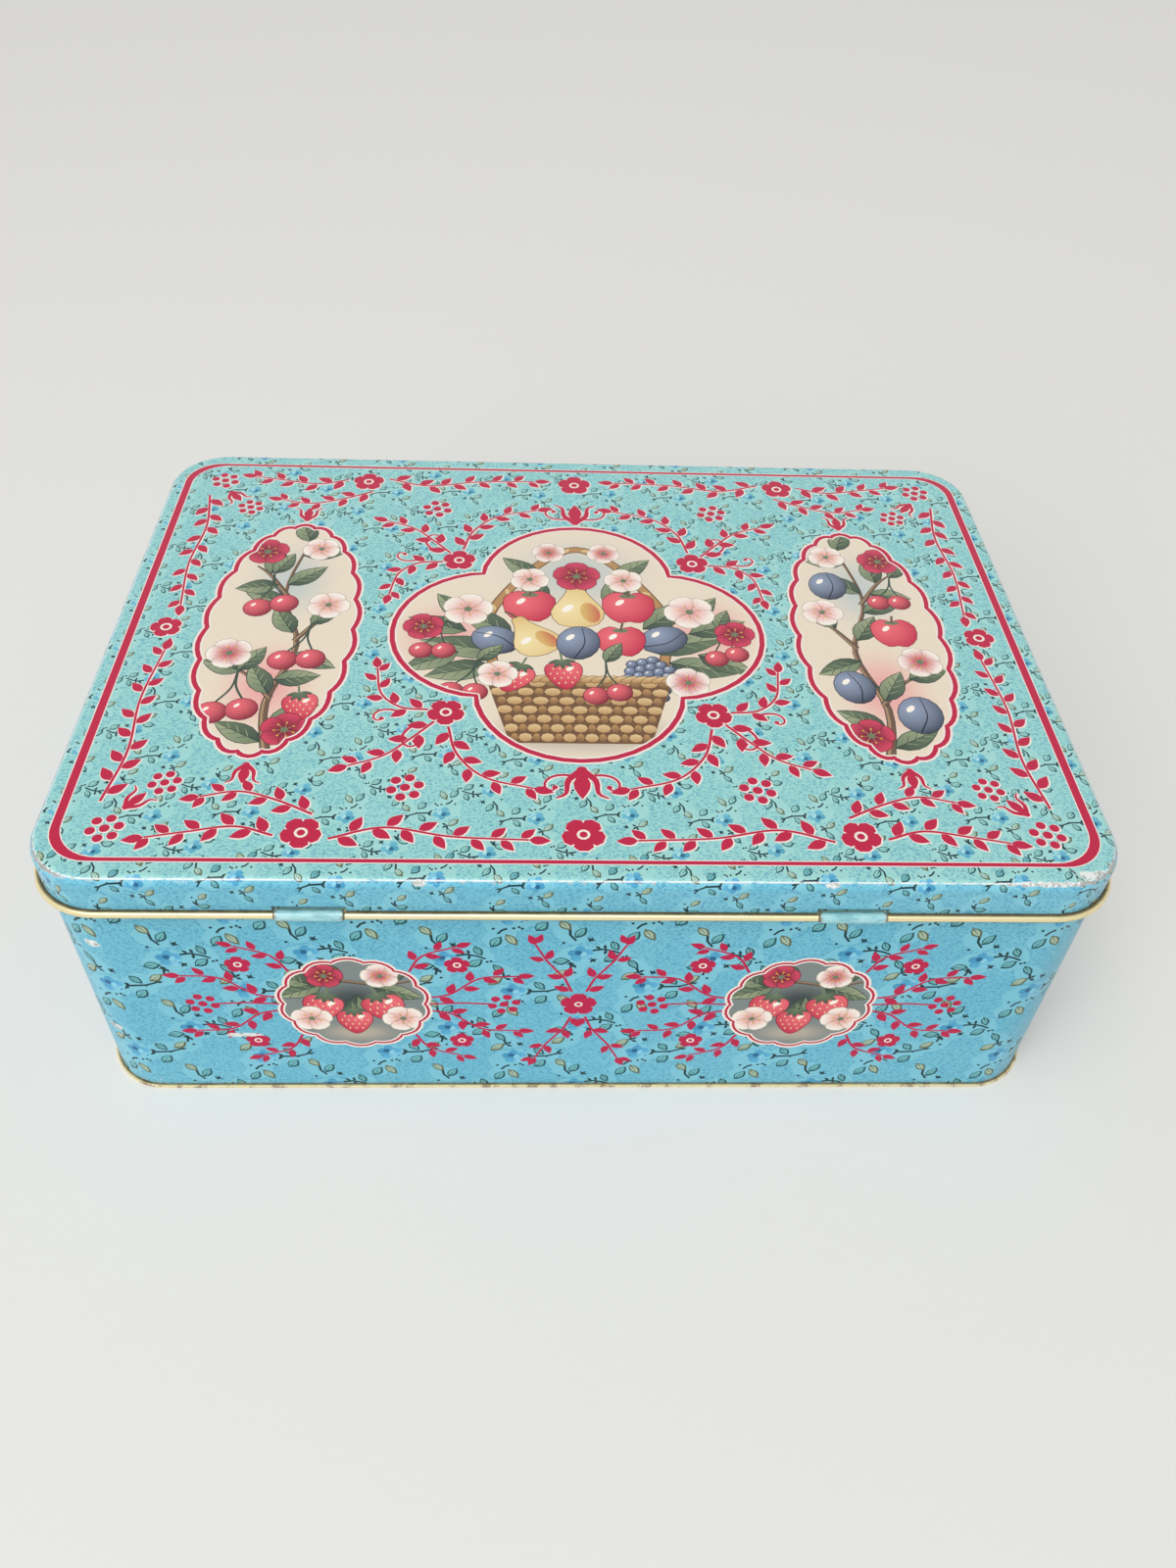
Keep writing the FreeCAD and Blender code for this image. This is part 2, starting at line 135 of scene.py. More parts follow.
class TinInks(bpy.types.PropertyGroup):
    """Colours of the print and of the bare metal."""

    # The lid's top grounds are greener than the wall's, and paler as painted light on the top; the skirt
    # keeps the wall's darker grounds
    lid_ground_and_light: colour("Lid ground", "Ground colour of the lid's top", "98D3CE")
    lid_halo_and_light: colour("Lid halo", "Calm ground round the sprigs of the lid's top", "B2DFDB")
    lid_stipple_and_light: colour("Lid stipple", "Fine dashes in the ground of the lid's top", "4C9CB6")
    wall_ground: colour("Wall ground", "Ground colour of the wall and the skirt", "6EBCD2")
    wall_halo: colour("Wall halo", "Calm ground round the sprigs of wall and skirt", "98D8E4")
    wall_stipple: colour("Wall stipple", "Fine dashes in the ground of wall and skirt", "3F90B6")
    flower: colour("Flower blue", "Petals of the small flowers", "5CB0D6")
    flower_light: colour("Flower light", "Lights on those petals", "86CCE2")
    flower_deep: colour("Flower deep", "Inner part of those petals", "4096BE")
    flower_heart: colour("Flower heart", "Middle of the small flowers", "18608A")
    leaf: colour("Leaf", "Fill of the small green leaves", "68B0B6")
    leaf_line: colour("Leaf line", "Outline of the small green leaves", "145058")
    straw: colour("Straw", "Fill of the small tan leaves", "A2BAA4")
    straw_line: colour("Straw line", "Outline of the small tan leaves", "5C6444")
    lid_leaf: colour("Lid leaf", "Fill of the green leaves on the lid's top", "90CAC4")
    lid_straw: colour("Lid straw", "Fill of the tan leaves on the lid's top", "A6CCC0")
    twig: colour("Twig", "Twigs and buds of the small sprigs", "08343C")
    crimson: colour("Crimson", "Sprays, frames and rims", "BC1040")
    crimson_deep: colour("Deep crimson", "Sprays on the wall", "BC0644")
    edging: colour("Edging", "Pale line round the crimson", "EFE4DB")
    cream: colour("Cream", "Ground of the pictures", "E8DAC4")
    gold: colour("Gold lacquer", "Lacquer on bead, foot and inside", "F4E4B0")
    strap: colour("Strap enamel", "Plain enamel of the hinge straps", "94CAD0")
    steel: colour("Steel", "Bare tinplate and wire", "A8A8A4")


class TinStudio(bpy.types.PropertyGroup):
    """Floor, lamps and camera."""

    floor: colour("Floor", "Plain floor", "E4E3DF")
    key_power: amount("Key power", "Broad soft light from above, in watts per square metre", 1.55)
    fill_power: amount("Fill power", "Soft lamp in front of the tin, in watts", 3.4)
    sky: amount("Sky", "Strength of the even light from all round", 0.38)
    backdrop: amount("Backdrop", "Brightness of the backdrop beyond the floor", 0.72)
    camera_x: length("Camera X", "Camera, along the tin's length", -0.01195)
    camera_y: length("Camera Y", "Camera, in front of the hinge side", -0.2954)
    camera_z: length("Camera Z", "Camera, over the floor", 0.3264)
    pitch: rotation("Pitch", "How far the camera looks down", 45.09)
    yaw: rotation("Yaw", "How far the camera looks right", 3.356)
    roll: rotation("Roll", "How far the picture is turned", 2.894)
    lens: amount("Lens", "Focal length for the sensor's long side, in mm", 28.04, 1.0)


# Outlines are lists of complex numbers in millimetres, x across and y up the artwork


def turn(degrees):
    """Unit direction at an angle."""
    return cmath.rect(1, math.radians(degrees))


def disc(middle, radius, steps=10):
    """Round outline."""
    return [middle + radius * turn(360 * step / steps) for step in range(steps)]


def oval(middle, half_length, half_width, heading, steps=12):
    """Oval outline whose length lies along a heading."""
    angles = (math.tau * step / steps for step in range(steps))
    places = (complex(half_length * math.cos(angle), half_width * math.sin(angle)) for angle in angles)
    return [middle + heading * place for place in places]


def blade(base, reach, width, fullest=0.45, steps=5):
    """Leaf outline, pointed at both ends, from its base along a reach."""
    power = math.log(0.5) / math.log(fullest)
    shares = [step / steps for step in range(1, steps)]
    side = [width / 2 * math.sin(math.pi * share ** power) for share in shares]
    across = 1j * reach / abs(reach)
    right = [base + reach * share - across * half for share, half in zip(shares, side)]
    left = [base + reach * share + across * half for share, half in zip(shares, side)]
    return [base, *right, base + reach, *reversed(left)]


def petal(base, reach, width, steps=10):
    """Petal outline, narrow at its base and round at its tip."""
    across = 1j * reach / abs(reach)
    outline = []
    for step in range(steps):
        angle = math.tau * step / steps
        share = (1 - math.cos(angle)) / 2
        along = base + reach * share
        outline.append(along - across * width / 2 * math.sin(angle) * (0.45 + 0.75 * share))
    return outline


def smooth(places, steps=5):
    """Points of a smooth curve through a few places."""
    ends = [2 * places[0] - places[1], *places, 2 * places[-1] - places[-2]]
    curve = []
    for before, start, end, after in zip(ends, ends[1:], ends[2:], ends[3:]):
        for step in range(steps):
            t = step / steps
            curve.append(0.5 * (
                2 * start + (end - before) * t
                + (2 * before - 5 * start + 4 * end - after) * t ** 2
                + (3 * start - before - 3 * end + after) * t ** 3
            ))
    return [*curve, places[-1]]


def headings(path):
    """Direction of a path at each of its points."""
    spans = [path[min(i + 1, len(path) - 1)] - path[max(i - 1, 0)] for i in range(len(path))]
    return [span / abs(span) for span in spans]


def stroke(path, width, tip_width=None):
    """Outline of a line drawn along a path, from one width to another."""
    tip_width = width if tip_width is None else tip_width
    last = len(path) - 1
    widths = [width + (tip_width - width) * i / last for i in range(len(path))]
    offsets = [1j * heading * wide / 2 for heading, wide in zip(headings(path), widths)]
    right = [place - offset for place, offset in zip(path, offsets)]
    left = [place + offset for place, offset in zip(path, offsets)]
    return [*right, *reversed(left)]


def area(outline):
    """Signed area, positive where the outline runs anticlockwise."""
    return sum((a.conjugate() * b).imag for a, b in zip(outline, outline[1:] + outline[:1])) / 2


def swelled(outline, amount):
    """Outline moved outwards all round."""
    if area(outline) < 0:
        outline = outline[::-1]
    grown = []
    for before, place, after in zip(outline[-1:] + outline[:-1], outline, outline[1:] + outline[:1]):
        first, second = place - before, after - place
        normal = -1j * (first / max(abs(first), 1e-9) + second / max(abs(second), 1e-9))
        grown.append(place + amount * normal / max(abs(normal), 0.75))
    return grown


def lobed(middle, half_width, half_height, lobes, depth, steps=6):
    """Oval outline with a scalloped edge."""
    outline = []
    for step in range(lobes * steps):
        angle = math.tau * step / (lobes * steps)
        bump = depth * abs(math.sin(lobes * angle / 2))
        outline.append(middle + complex(
            (half_width + bump) * math.cos(angle), (half_height + bump) * math.sin(angle)
        ))
    return outline


def quatrefoil(middle, reach, lobe, steps=72):
    """Outline of four overlapping rounds, one on each axis."""
    setting = reach - lobe
    outline = []
    for step in range(steps):
        angle = 360 * step / steps
        off_axis = math.radians((angle + 45) % 90 - 45)
        edge = setting * math.cos(off_axis) + math.sqrt(lobe ** 2 - (setting * math.sin(off_axis)) ** 2)
        outline.append(middle + edge * turn(angle))
    return outline


def rounded(corner, radius, steps):
    """Rounded rectangle about the origin, given the middle of its first corner."""
    outline = []
    for quarter, (across, up) in enumerate(((1, 1), (-1, 1), (-1, -1), (1, -1))):
        middle = complex(across * corner.real, up * corner.imag)
        outline += [middle + radius * turn(90 * (quarter + step / steps)) for step in range(steps + 1)]
    return outline


def rectangle(low, high):
    """Rectangle between two corners."""
    return [low, complex(high.real, low.imag), high, complex(low.real, high.imag)]


def plain(tone):
    """Ink of one colour."""
    return lambda place: (*tone[:3], 1.0)


def wash(first, last, start, end):
    """Ink that runs from one colour to another between two places."""
    reach = end - start

    def at(place):
        share = ((place - start) * reach.conjugate()).real / abs(reach) ** 2
        share = min(max(share, 0.0), 1.0)
        return (*(a + (b - a) * share for a, b in zip(first, last)), 1.0)

    return at


def glow(first, last, middle, radius):
    """Ink that runs from one colour in the middle to another round it."""

    def at(place):
        share = min(abs(place - middle) / radius, 1.0) ** 1.4
        return (*(a + (b - a) * share for a, b in zip(first, last)), 1.0)

    return at


class Artwork:
    """Flat artwork: outlines painted one over another, the last on top."""

    def __init__(self):
        self.outlines = []
        self.inks = []
        self.masks = []
        self.mask = None

    def paint(self, outline, tone):
        """Paint an outline, inside the present mask, and return its number."""
        self.outlines.append(outline if area(outline) > 0 else outline[::-1])
        self.inks.append(tone)
        self.masks.append(self.mask)
        return len(self.outlines) - 1

    def paint_edged(self, outlines, tone, edge_tone, edge):
        """Paint a group of outlines with one pale edge round the whole group."""
        for outline in outlines:
            self.paint([place + MISFIT for place in swelled(outline, edge)], edge_tone)
        for outline in outlines:
            self.paint(outline, tone)

    def topmost(self, owners):
        """Number of the outline that shows where several lie, or None for the ground."""
        for number in sorted(owners, reverse=True):
            if self.masks[number] is None or self.masks[number] in owners:
                return number
        return None


# Small sprigs of the ground


class Sprig(NamedTuple):
    """Sprig about its flower.

    A leaf is its middle, angle, length and width, a barb or a bud its place and angle.
    """

    green: tuple
    tan: tuple
    stems: tuple
    barbs: tuple
    buds: tuple
    dots: tuple
    heart: complex


TWIG_SPRIG = Sprig(
    green=((-5.2 - 3.1j, 8, 5.0, 3.4), (8.9 + 3.7j, -65, 4.7, 2.6), (8.1 - 1.7j, 40, 5.2, 3.3),
           (-0.3 + 9.2j, 58, 5.4, 3.1)),
    tan=((-5.3 - 8.6j, 40, 5.2, 3.0), (-4.4 + 12.2j, -50, 5.0, 3.0)),
    stems=((3.0 + 1.7j, 5.8 + 2.2j, 8.4 + 1.5j, 10.8 + 0.3j), (-3.2 + 10.8j, -3.0 + 8.2j, -1.4 + 5.8j),
           (-2.2 - 4.4j, -2.5 - 5.4j, -2.8 - 6.9j)),
    barbs=((5.3 + 2.1j, 135), (6.5 + 2.1j, 100), (6.6 + 2.1j, 262), (-2.2 - 4.2j, 300)),
    buds=((2.3 + 6.0j, 60), (3.1 - 2.4j, -50), (-2.3 - 4.2j, 190)),
    dots=(-1.4 - 8.2j, 11.2 - 1.1j, 12.2 - 0.8j, -4.7 + 4.9j),
    heart=-0.7 + 0.6j,
)
FORK_SPRIG = Sprig(
    green=((-3.9 + 10.3j, -55, 5.3, 2.6), (7.2 + 2.8j, -50, 4.8, 2.8), (7.6 - 3.7j, 50, 5.0, 3.6),
           (-4.4 - 10.3j, 58, 5.5, 3.3)),
    tan=((-4.8 + 5.0j, 43, 5.6, 3.1), (-0.3 - 9.4j, -58, 5.8, 3.0)),
    stems=((4.0 + 0.0j, 9.4 + 0.3j, 12.2 + 1.4j, 13.7 + 3.7j), (-2.9 + 8.6j, -2.5 + 7.5j, -2.4 + 6.2j),
           (-1.4 - 4.6j, -2.8 - 5.4j, -3.9 - 6.9j)),
    barbs=((5.4 + 0.1j, 140), (5.0 + 0.1j, 225), (12.2 + 1.4j, 15), (-2.4 + 6.4j, 330),
           (-2.4 + 6.4j, 40)),
    buds=((1.5 + 6.3j, 60),),
    dots=(-5.0 - 4.7j, 0.3 - 4.5j, 1.7 - 4.0j, 2.5 - 4.6j, 9.4 + 0.1j),
    heart=-0.9 + 0.7j,
)

# Sprigs over this size have rounder outlines
FULL_SPRIG = 0.9

# Repeat of full-size sprigs in millimetres: pairs of columns across, rows up, drop of every other pair
SPRIG_REPEAT = (36.1, 32.5, -2.4)

# How far a sprig reaches from its flower across and up, in millimetres
SPRIG_REACH = 14 + 13j


def sprig_leaf(art, at, spread, leaf, fill, line):
    """Outlined leaf with a rib, its outline heavier on the shaded side."""
    middle, degrees, long, wide = leaf
    middle = at + spread * middle
    reach = spread * long * turn(degrees)
    size = abs(spread)
    steps = 4 if size > FULL_SPRIG else 3
    art.paint(blade(middle - reach / 2, reach, wide * size, 0.48, steps), plain(line))
    lit = middle + 0.14 * size * (1j - 1)
    art.paint(blade(lit - 0.38 * reach, 0.76 * reach, (wide - 1.05) * size, 0.48, steps), plain(fill))
    across = 0.2j * size * reach / abs(reach)
    rib = middle - 0.45 * reach
    art.paint([rib - across, rib + across, middle + 0.26 * reach], plain(line))


def sprig_bud(art, at, reach, tone):
    """Dark bud with three points."""
    spikes = ((-62, 0.95), (-30, 0.5), (0, 1.0), (30, 0.5), (62, 0.95))
    art.paint([at - 0.4 * reach, *(at + share * reach * turn(lean) for lean, share in spikes)], tone)


def sprig_flower(art, at, spread, heart, inks):
    """Blue flower of five round petals, lit from the right, its dark heart off the middle."""
    size = abs(spread)
    heart = at + spread * heart
    steps = 8 if size > FULL_SPRIG else 6
    tips = (inks.flower, inks.flower, inks.flower_deep, inks.flower, inks.flower_light)
    for number, tip in enumerate(tips):
        heading = turn(72 * number + 24)
        art.paint(oval(at + 1.95 * spread * heading, 1.75 * size, 1.5 * size, heading, steps),
                  glow(inks.flower_deep, tip, heart, 3.6 * size))
    art.paint(oval(at + 0.7 * spread, 1.3 * size, 0.9 * size, turn(70), 5), plain(inks.flower_light))
    for degrees in (75, 200, 305):
        base = at + 3.1 * spread * turn(degrees)
        reach = 1.9 * spread * turn(degrees + 105)
        art.paint(blade(base, reach, 0.7 * size, 0.5, 2), plain(inks.flower_deep))
    art.paint(disc(heart, size, 6), plain(inks.flower_heart))


def paint_sprig(art, at, spread, sprig, inks):
    """Sprig at a place. The spread is its size and turn in one number."""
    size = abs(spread)
    dark = plain(inks.twig)
    sprig_flower(art, at, spread, sprig.heart, inks)
    for stem in sprig.stems:
        art.paint(stroke([at + spread * place for place in stem], 0.8 * size, 0.65 * size), dark)
    for leaves, fill, line in (
        (sprig.green, inks.leaf, inks.leaf_line), (sprig.tan, inks.straw, inks.straw_line),
    ):
        for leaf in leaves:
            sprig_leaf(art, at, spread, leaf, fill, line)
    for place, degrees in sprig.barbs:
        art.paint(blade(at + spread * place, 2.3 * spread * turn(degrees), 1.05 * size, 0.5, 2), dark)
    for place, degrees in sprig.buds:
        sprig_bud(art, at + spread * place, 1.6 * spread * turn(degrees), dark)
    for place in sprig.dots:
        art.paint(disc(at + spread * place, 0.55 * size, 4), dark)


def lid_sprig_inks(inks):
    """Inks of the sprigs on the lid's top: faint leaves, and flowers tinted towards the ground, whose
    paleness is partly painted light.
    """
    tint = [(lid / wall) ** LID_TINT for lid, wall in zip(inks.lid_ground_and_light, inks.wall_ground)]
    tinted = {}
    for name in ("flower", "flower_light", "flower_deep", "flower_heart"):
        tinted[name] = tuple(part * share for part, share in zip(getattr(inks, name), tint))
    return SimpleNamespace(leaf=inks.lid_leaf, straw=inks.lid_straw, leaf_line=inks.leaf_line,
                           straw_line=inks.straw_line, twig=inks.twig, **tinted)


def calm_ground(art, at, spread):
    """Ground without stipple round the parts of a sprig."""
    size = abs(spread)
    for middle, half_length, half_width, degrees in (
        (-1.2 - 1.5j, 7.0, 5.4, 20), (8.2 + 0.6j, 5.2, 5.6, 0), (-3.0 + 8.6j, 5.4, 3.8, -40),
        (-3.4 - 8.4j, 5.2, 3.8, 30),
    ):
        patch = oval(at + spread * middle, half_length * size, half_width * size, turn(degrees), 7)
        art.paint(patch, lambda place: CALM)


def scatter_sprigs(art, low, high, spread, inks_at, covered):
    """Fill an area with sprigs in columns, each dropped by half, except where a picture covers them."""
    size = abs(spread)
    across, up, drop = (step * size for step in SPRIG_REPEAT)
    middle = (low + high) / 2
    half = (high - low) / 2 + SPRIG_REACH * size
    sprigs = []
    for column in range(math.floor(2 * low.real / across) - 1, math.ceil(2 * high.real / across) + 2):
        odd = column % 2
        sprig = FORK_SPRIG if odd else TWIG_SPRIG
        for row in range(math.floor(low.imag / up) - 2, math.ceil(high.imag / up) + 2):
            at = complex(column * across / 2, (row + 0.55 * odd) * up + drop * (column // 2 % 2))
            offset = at - middle
            inside = abs(offset.real) < half.real and abs(offset.imag) < half.imag
            if inside and not covered(at):
                sprigs.append((at, sprig))
    for at, _ in sprigs:
        calm_ground(art, at, spread)
    for at, sprig in sprigs:
        paint_sprig(art, at, spread, sprig, inks_at(at))


# Crimson ornament, returned as outlines so that a group can share one pale edge


def laurel(path, leaf_length, spacing=0.72):
    """Thin stem with plump leaves to either side in turn and one at its tip."""
    bearings = headings(path)
    runs = [0.0]
    for start, end in zip(path, path[1:]):
        runs.append(runs[-1] + abs(end - start))
    leaves = max(2, round(runs[-1] / (spacing * leaf_length)))
    outlines = [stroke(path, 0.8, 0.6)]
    for number in range(leaves):
        run = runs[-1] * (number + 0.4) / leaves
        index = min(range(len(runs)), key=lambda place: abs(runs[place] - run))
        size = leaf_length * (1 - 0.2 * number / leaves)
        heading = bearings[index] * turn(44 if number % 2 else -44)
        outlines.append(blade(path[index] + 0.7 * heading, size * heading, 0.54 * size, 0.42, 5))
    outlines.append(blade(path[-1], 0.95 * leaf_length * bearings[-1], 0.5 * leaf_length, 0.42, 5))
    return outlines


def tulip(base, heading, size):
    """Bell flower: a pointed middle petal between two that curl away."""
    outlines = [blade(base + 0.6 * size * heading, 6.2 * size * heading, 2.9 * size, 0.45, 5)]
    curl = ((2.4, 2.3), (5.4, 2.7), (6.6, 4.4))
    for side in (-1, 1):
        path = [base, *(base + heading * complex(along, out * side) * size for along, out in curl)]
        outlines.append(stroke(smooth(path, 3), 1.5 * size, 0.3 * size))
    outlines.append(disc(base, 1.0 * size, 8))
    return outlines


def bunch(middle, size):
    """Six round berries about a seventh."""
    ring = [middle + 2.95 * size * turn(60 * number + 15) for number in range(6)]
    return [disc(place, 1.15 * size, 9) for place in (middle, *ring)]


def rosette(at, radius, degrees=0.0):
    """Open flower of five broad petals."""
    return [petal(at, radius * turn(degrees + 72 * number), radius * 1.02, 9) for number in range(5)]


def tendril(start, heading, size):
    """Spiral curl with a bead at its end."""
    path = [start]
    for step in range(13):
        heading *= turn(8 + 2.3 * step)
        path.append(path[-1] + heading * size * (1.5 - 0.09 * step))
    return [stroke(path, 0.8 * size, 0.5 * size), disc(path[-1], 0.75 * size, 8)]


def mirrored(outlines):
    """Outlines and their copies on the other side of the upright middle line."""
    return [*outlines, *([-place.conjugate() for place in outline] for outline in outlines)]


def flipped(outlines):
    """Outlines and their copies on the other side of the level middle line."""
    return [*outlines, *([place.conjugate() for place in outline] for outline in outlines)]


def moved(outlines, shift):
    """Outlines moved to another place."""
    return [[place + shift for place in outline] for outline in outlines]


def band(outer, inner):
    """Outline of the band between two closed outlines."""
    return [*outer, outer[0], inner[0], *reversed(inner)]


# Painted fruit, blossom and leaves of the pictures

LEAF_DARK = ink("34483C")
LEAF_MID = ink("6A7C5E")
LEAF_LIGHT = ink("A3AC88")
LEAF_LINE = ink("26332E")
BARK = ink("6B5140")
BARK_LIGHT = ink("A78867")
RED_DEEP = ink("7A0A2A")
RED = ink("BE1440")
RED_LIGHT = ink("EC6A74")
PLUM_DEEP = ink("141E34")
PLUM = ink("304468")
PLUM_LIGHT = ink("8F9DB5")
PEAR = ink("D9B56A")
PEAR_LIGHT = ink("F2DEA6")
PEAR_BLUSH = ink("C8654E")
WHITE = ink("F6EEE2")
BLUSH = ink("E9A4A0")
ROSE = ink("CE3E5C")
POLLEN = ink("D9A93F")
SHADE = ink("B9AC9A")
SKY = ink("BFC8C4")
DUSK = ink("7C8684")
NIGHT = ink("2E383C")
CANE = ink("B58A58")
CANE_LIGHT = ink("DDBE8B")
CANE_DARK = ink("6E4D30")
SHINE = ink("FBF3E6")

# Light, body and edge of each shaded fruit
CHERRY_TONES = (RED_LIGHT, RED_DEEP, RED_DEEP)
RED_TONES = (RED_LIGHT, RED, RED_DEEP)
PEAR_TONES = (PEAR_LIGHT, PEAR, BARK)
PLUM_TONES = (PLUM_LIGHT, PLUM_DEEP, PLUM_DEEP)
GRAPE_TONES = (PLUM_LIGHT, PLUM, PLUM_DEEP)


def painted_leaf(art, base, reach, width):
    """Broad leaf with a light and a dark half and pale veins."""
    across = 1j * reach / abs(reach)
    art.paint(swelled(blade(base, reach, width, 0.42, 6), 0.28), plain(LEAF_LINE))
    art.paint(blade(base, reach, width, 0.42, 6), wash(LEAF_DARK, LEAF_MID, base, base + reach))
    upper = blade(base, reach, width, 0.42, 6)[6:]
    art.paint([base, *reversed(upper)], wash(LEAF_MID, LEAF_LIGHT, base, base + reach))
    art.paint(stroke([base, base + reach * 0.92], 0.42, 0.15), plain(LEAF_LINE))
    for share in (0.25, 0.45, 0.65):
        start = base + reach * share
        for side in (-1, 1):
            end = start + reach * 0.16 + across * side * width * 0.3
            art.paint(stroke([start, end], 0.24, 0.12), plain(LEAF_LINE if side > 0 else LEAF_LIGHT))


def blossom(art, at, radius, degrees, heart=BLUSH, tip=WHITE):
    """Five-petalled fruit blossom with stamens."""
    for number in range(5):
        heading = turn(degrees + 72 * number)
        outline = petal(at, radius * heading, radius * 1.08, 12)
        art.paint(swelled(outline, 0.25), plain(SHADE if tip == WHITE else RED_DEEP))
        art.paint(outline, wash(heart, tip, at + 0.15 * radius * heading, at + 0.85 * radius * heading))
        for lean in (-14, 14):
            vein = at + 0.66 * radius * heading * turn(lean)
            art.paint(stroke([at + 0.2 * radius * heading, vein], 0.24, 0.1), plain(heart))
    for number in range(7):
        end = at + 0.42 * radius * turn(degrees + 20 + 51 * number)
        art.paint(stroke([at, end], 0.22), plain(BARK_LIGHT))
        art.paint(disc(end, 0.38, 5), plain(POLLEN))
    art.paint(disc(at, 0.16 * radius, 8), plain(LEAF_MID))


def rounded_fruit(art, outline, middle, radius, tones, shine):
    """Fruit shaded from a bright side to a dark edge, with a shine."""
    light, deep, edge = tones
    art.paint(swelled(outline, 0.25), plain(edge))
    for share in (1.0, 0.78, 0.55, 0.3):
        ring = [middle + (place - middle) * share for place in outline]
        art.paint(ring, glow(light, deep, shine, radius * 1.5))
    art.paint(oval(shine, radius * 0.24, radius * 0.13, turn(50), 8), plain(SHINE))


def cherry(art, at, radius):
    """Single cherry."""
    rounded_fruit(art, disc(at, radius, 16), at, radius, CHERRY_TONES, at + radius * complex(-0.35, 0.35))


def apple(art, at, size):
    """Red apple with a green shoulder, its stalk upwards."""
    places = [0 + 5.6j, 3.4 + 7.0j, 7.2 + 3.6j, 6.6 - 3.0j, 3.0 - 7.0j, 0 - 6.4j,
              -3.0 - 7.0j, -6.6 - 3.0j, -7.2 + 3.6j, -3.4 + 7.0j, 0 + 5.6j]
    outline = [at + size * place for place in smooth(places, 2)[:-1]]
    rounded_fruit(art, outline, at, 7.4 * size, RED_TONES, at + complex(-2.4, 2.2) * size)
    art.paint(oval(at + 5.2j * size, 2.6 * size, 1.0 * size, 1, 8), plain(LEAF_MID))
    art.paint(stroke([at + 5.0j * size, at + complex(0.8, 9.0) * size], 0.8 * size), plain(BARK))


def cherries(art, node, degrees, size):
    """Pair of cherries on long stalks, with a leaf."""
    painted_leaf(art, node, 11 * size * turn(degrees + 150), 5.4 * size)
    for lean, drop in ((-17, 13.5), (16, 12.0)):
        end = node + drop * size * turn(degrees + lean)
        middle = node + 0.5 * drop * size * turn(degrees + 0.3 * lean)
        art.paint(stroke(smooth([node, middle, end], 4), 0.6 * size), plain(LEAF_DARK))
        cherry(art, end + 3.0 * size * turn(degrees), 3.9 * size)


def strawberry(art, at, degrees, size):
    """Strawberry that hangs from its green cap."""
    heading = turn(degrees)
    places = [0, 1.2 + 4.6j, 5.2 + 5.4j, 10.2 + 3.0j, 12.6 + 0j, 10.2 - 3.0j, 5.2 - 5.4j, 1.2 - 4.6j, 0]
    outline = [at + heading * size * place for place in smooth(places, 3)[:-1]]
    middle = at + 5.2 * size * heading
    shine = middle + heading * complex(-1.8, 2.0) * size
    rounded_fruit(art, outline, middle, 6.2 * size, RED_TONES, shine)
    for row, count in ((2.6, 4), (4.8, 5), (7.0, 4), (9.2, 3)):
        for number in range(count):
            across = (number - (count - 1) / 2) * 2.0
            seed = at + heading * size * complex(row, across)
            art.paint(blade(seed, 0.95 * size * heading, 0.5 * size, 0.5, 3), plain(PEAR_LIGHT))
    for lean in (-78, -40, 0, 40, 78):
        cap = at - 0.6 * size * heading
        art.paint(blade(cap, 4.4 * size * heading * turn(lean), 1.9 * size, 0.4, 4),
                  wash(LEAF_MID, LEAF_DARK, cap, cap + 4.4 * size * heading * turn(lean)))
    stalk = [at - 0.4 * heading * size, at - 4.0 * heading * size]
    art.paint(stroke(stalk, 0.7 * size), plain(LEAF_MID))


def pear(art, at, degrees, size):
    """Pear that stands on its broad end, its stalk along the heading."""
    heading = turn(degrees)
    places = [-7.4, -6.0 + 5.2j, -0.6 + 7.2j, 4.6 + 4.6j, 8.6 + 2.6j, 11.8 + 1.9j, 12.8,
              11.8 - 1.9j, 8.6 - 2.6j, 4.6 - 4.6j, -0.6 - 7.2j, -6.0 - 5.2j, -7.4]
    outline = [at + heading * size * place for place in smooth(places, 2)[:-1]]

    def spot(along, out):
        return at + heading * complex(along, out) * size

    rounded_fruit(art, outline, at, 9.0 * size, PEAR_TONES, spot(1.0, 2.6))
    blush = oval(spot(-1.0, -3.4), 4.6 * size, 2.6 * size, heading * turn(12), 12)
    art.paint(blush, wash(PEAR, PEAR_BLUSH, spot(-1, -1.4), spot(-1, -6)))
    stalk = [spot(12.4, 0), spot(14.6, 0.6), spot(16.6, 2.0)]
    art.paint(stroke(smooth(stalk, 3), 0.9 * size), plain(BARK))


def plum(art, at, degrees, size):
    """Plum with a crease and a bloom."""
    heading = turn(degrees)
    outline = oval(at, 6.6 * size, 5.4 * size, heading, 16)
    rounded_fruit(art, outline, at, 6.4 * size, PLUM_TONES, at + complex(-2.0, 2.2) * size)
    crease = [at - 6.2 * size * heading, at - heading * 1.6j * size, at + 6.2 * size * heading]
    art.paint(stroke(smooth(crease, 4), 0.45 * size, 0.2 * size), plain(PLUM_DEEP))


def grapes(art, at, degrees, size):
    """Hanging bunch of dark grapes."""
    heading = turn(degrees)
    for row, count in enumerate((3, 4, 5, 4, 3, 2, 1)):
        for number in range(count):
            place = at + heading * size * complex(2.9 * row, 3.4 * (number - (count - 1) / 2))
            shine = place + 0.7 * size * complex(-1, 1)
            tones = GRAPE_TONES if (row + number) % 2 else PLUM_TONES
            rounded_fruit(art, disc(place, 1.95 * size, 10), place, 1.95 * size, tones, shine)


def twig(art, places, width):
    """Bark-brown branch with a lit side."""
    path = smooth(places, 5)
    art.paint(stroke(path, width + 0.4, 0.7), plain(LEAF_LINE))
    art.paint(stroke(path, width, 0.5), plain(BARK))
    lit = [place + 0.18 * width * 1j * heading for place, heading in zip(path, headings(path))]
    art.paint(stroke(lit, width * 0.35, 0.15), plain(BARK_LIGHT))


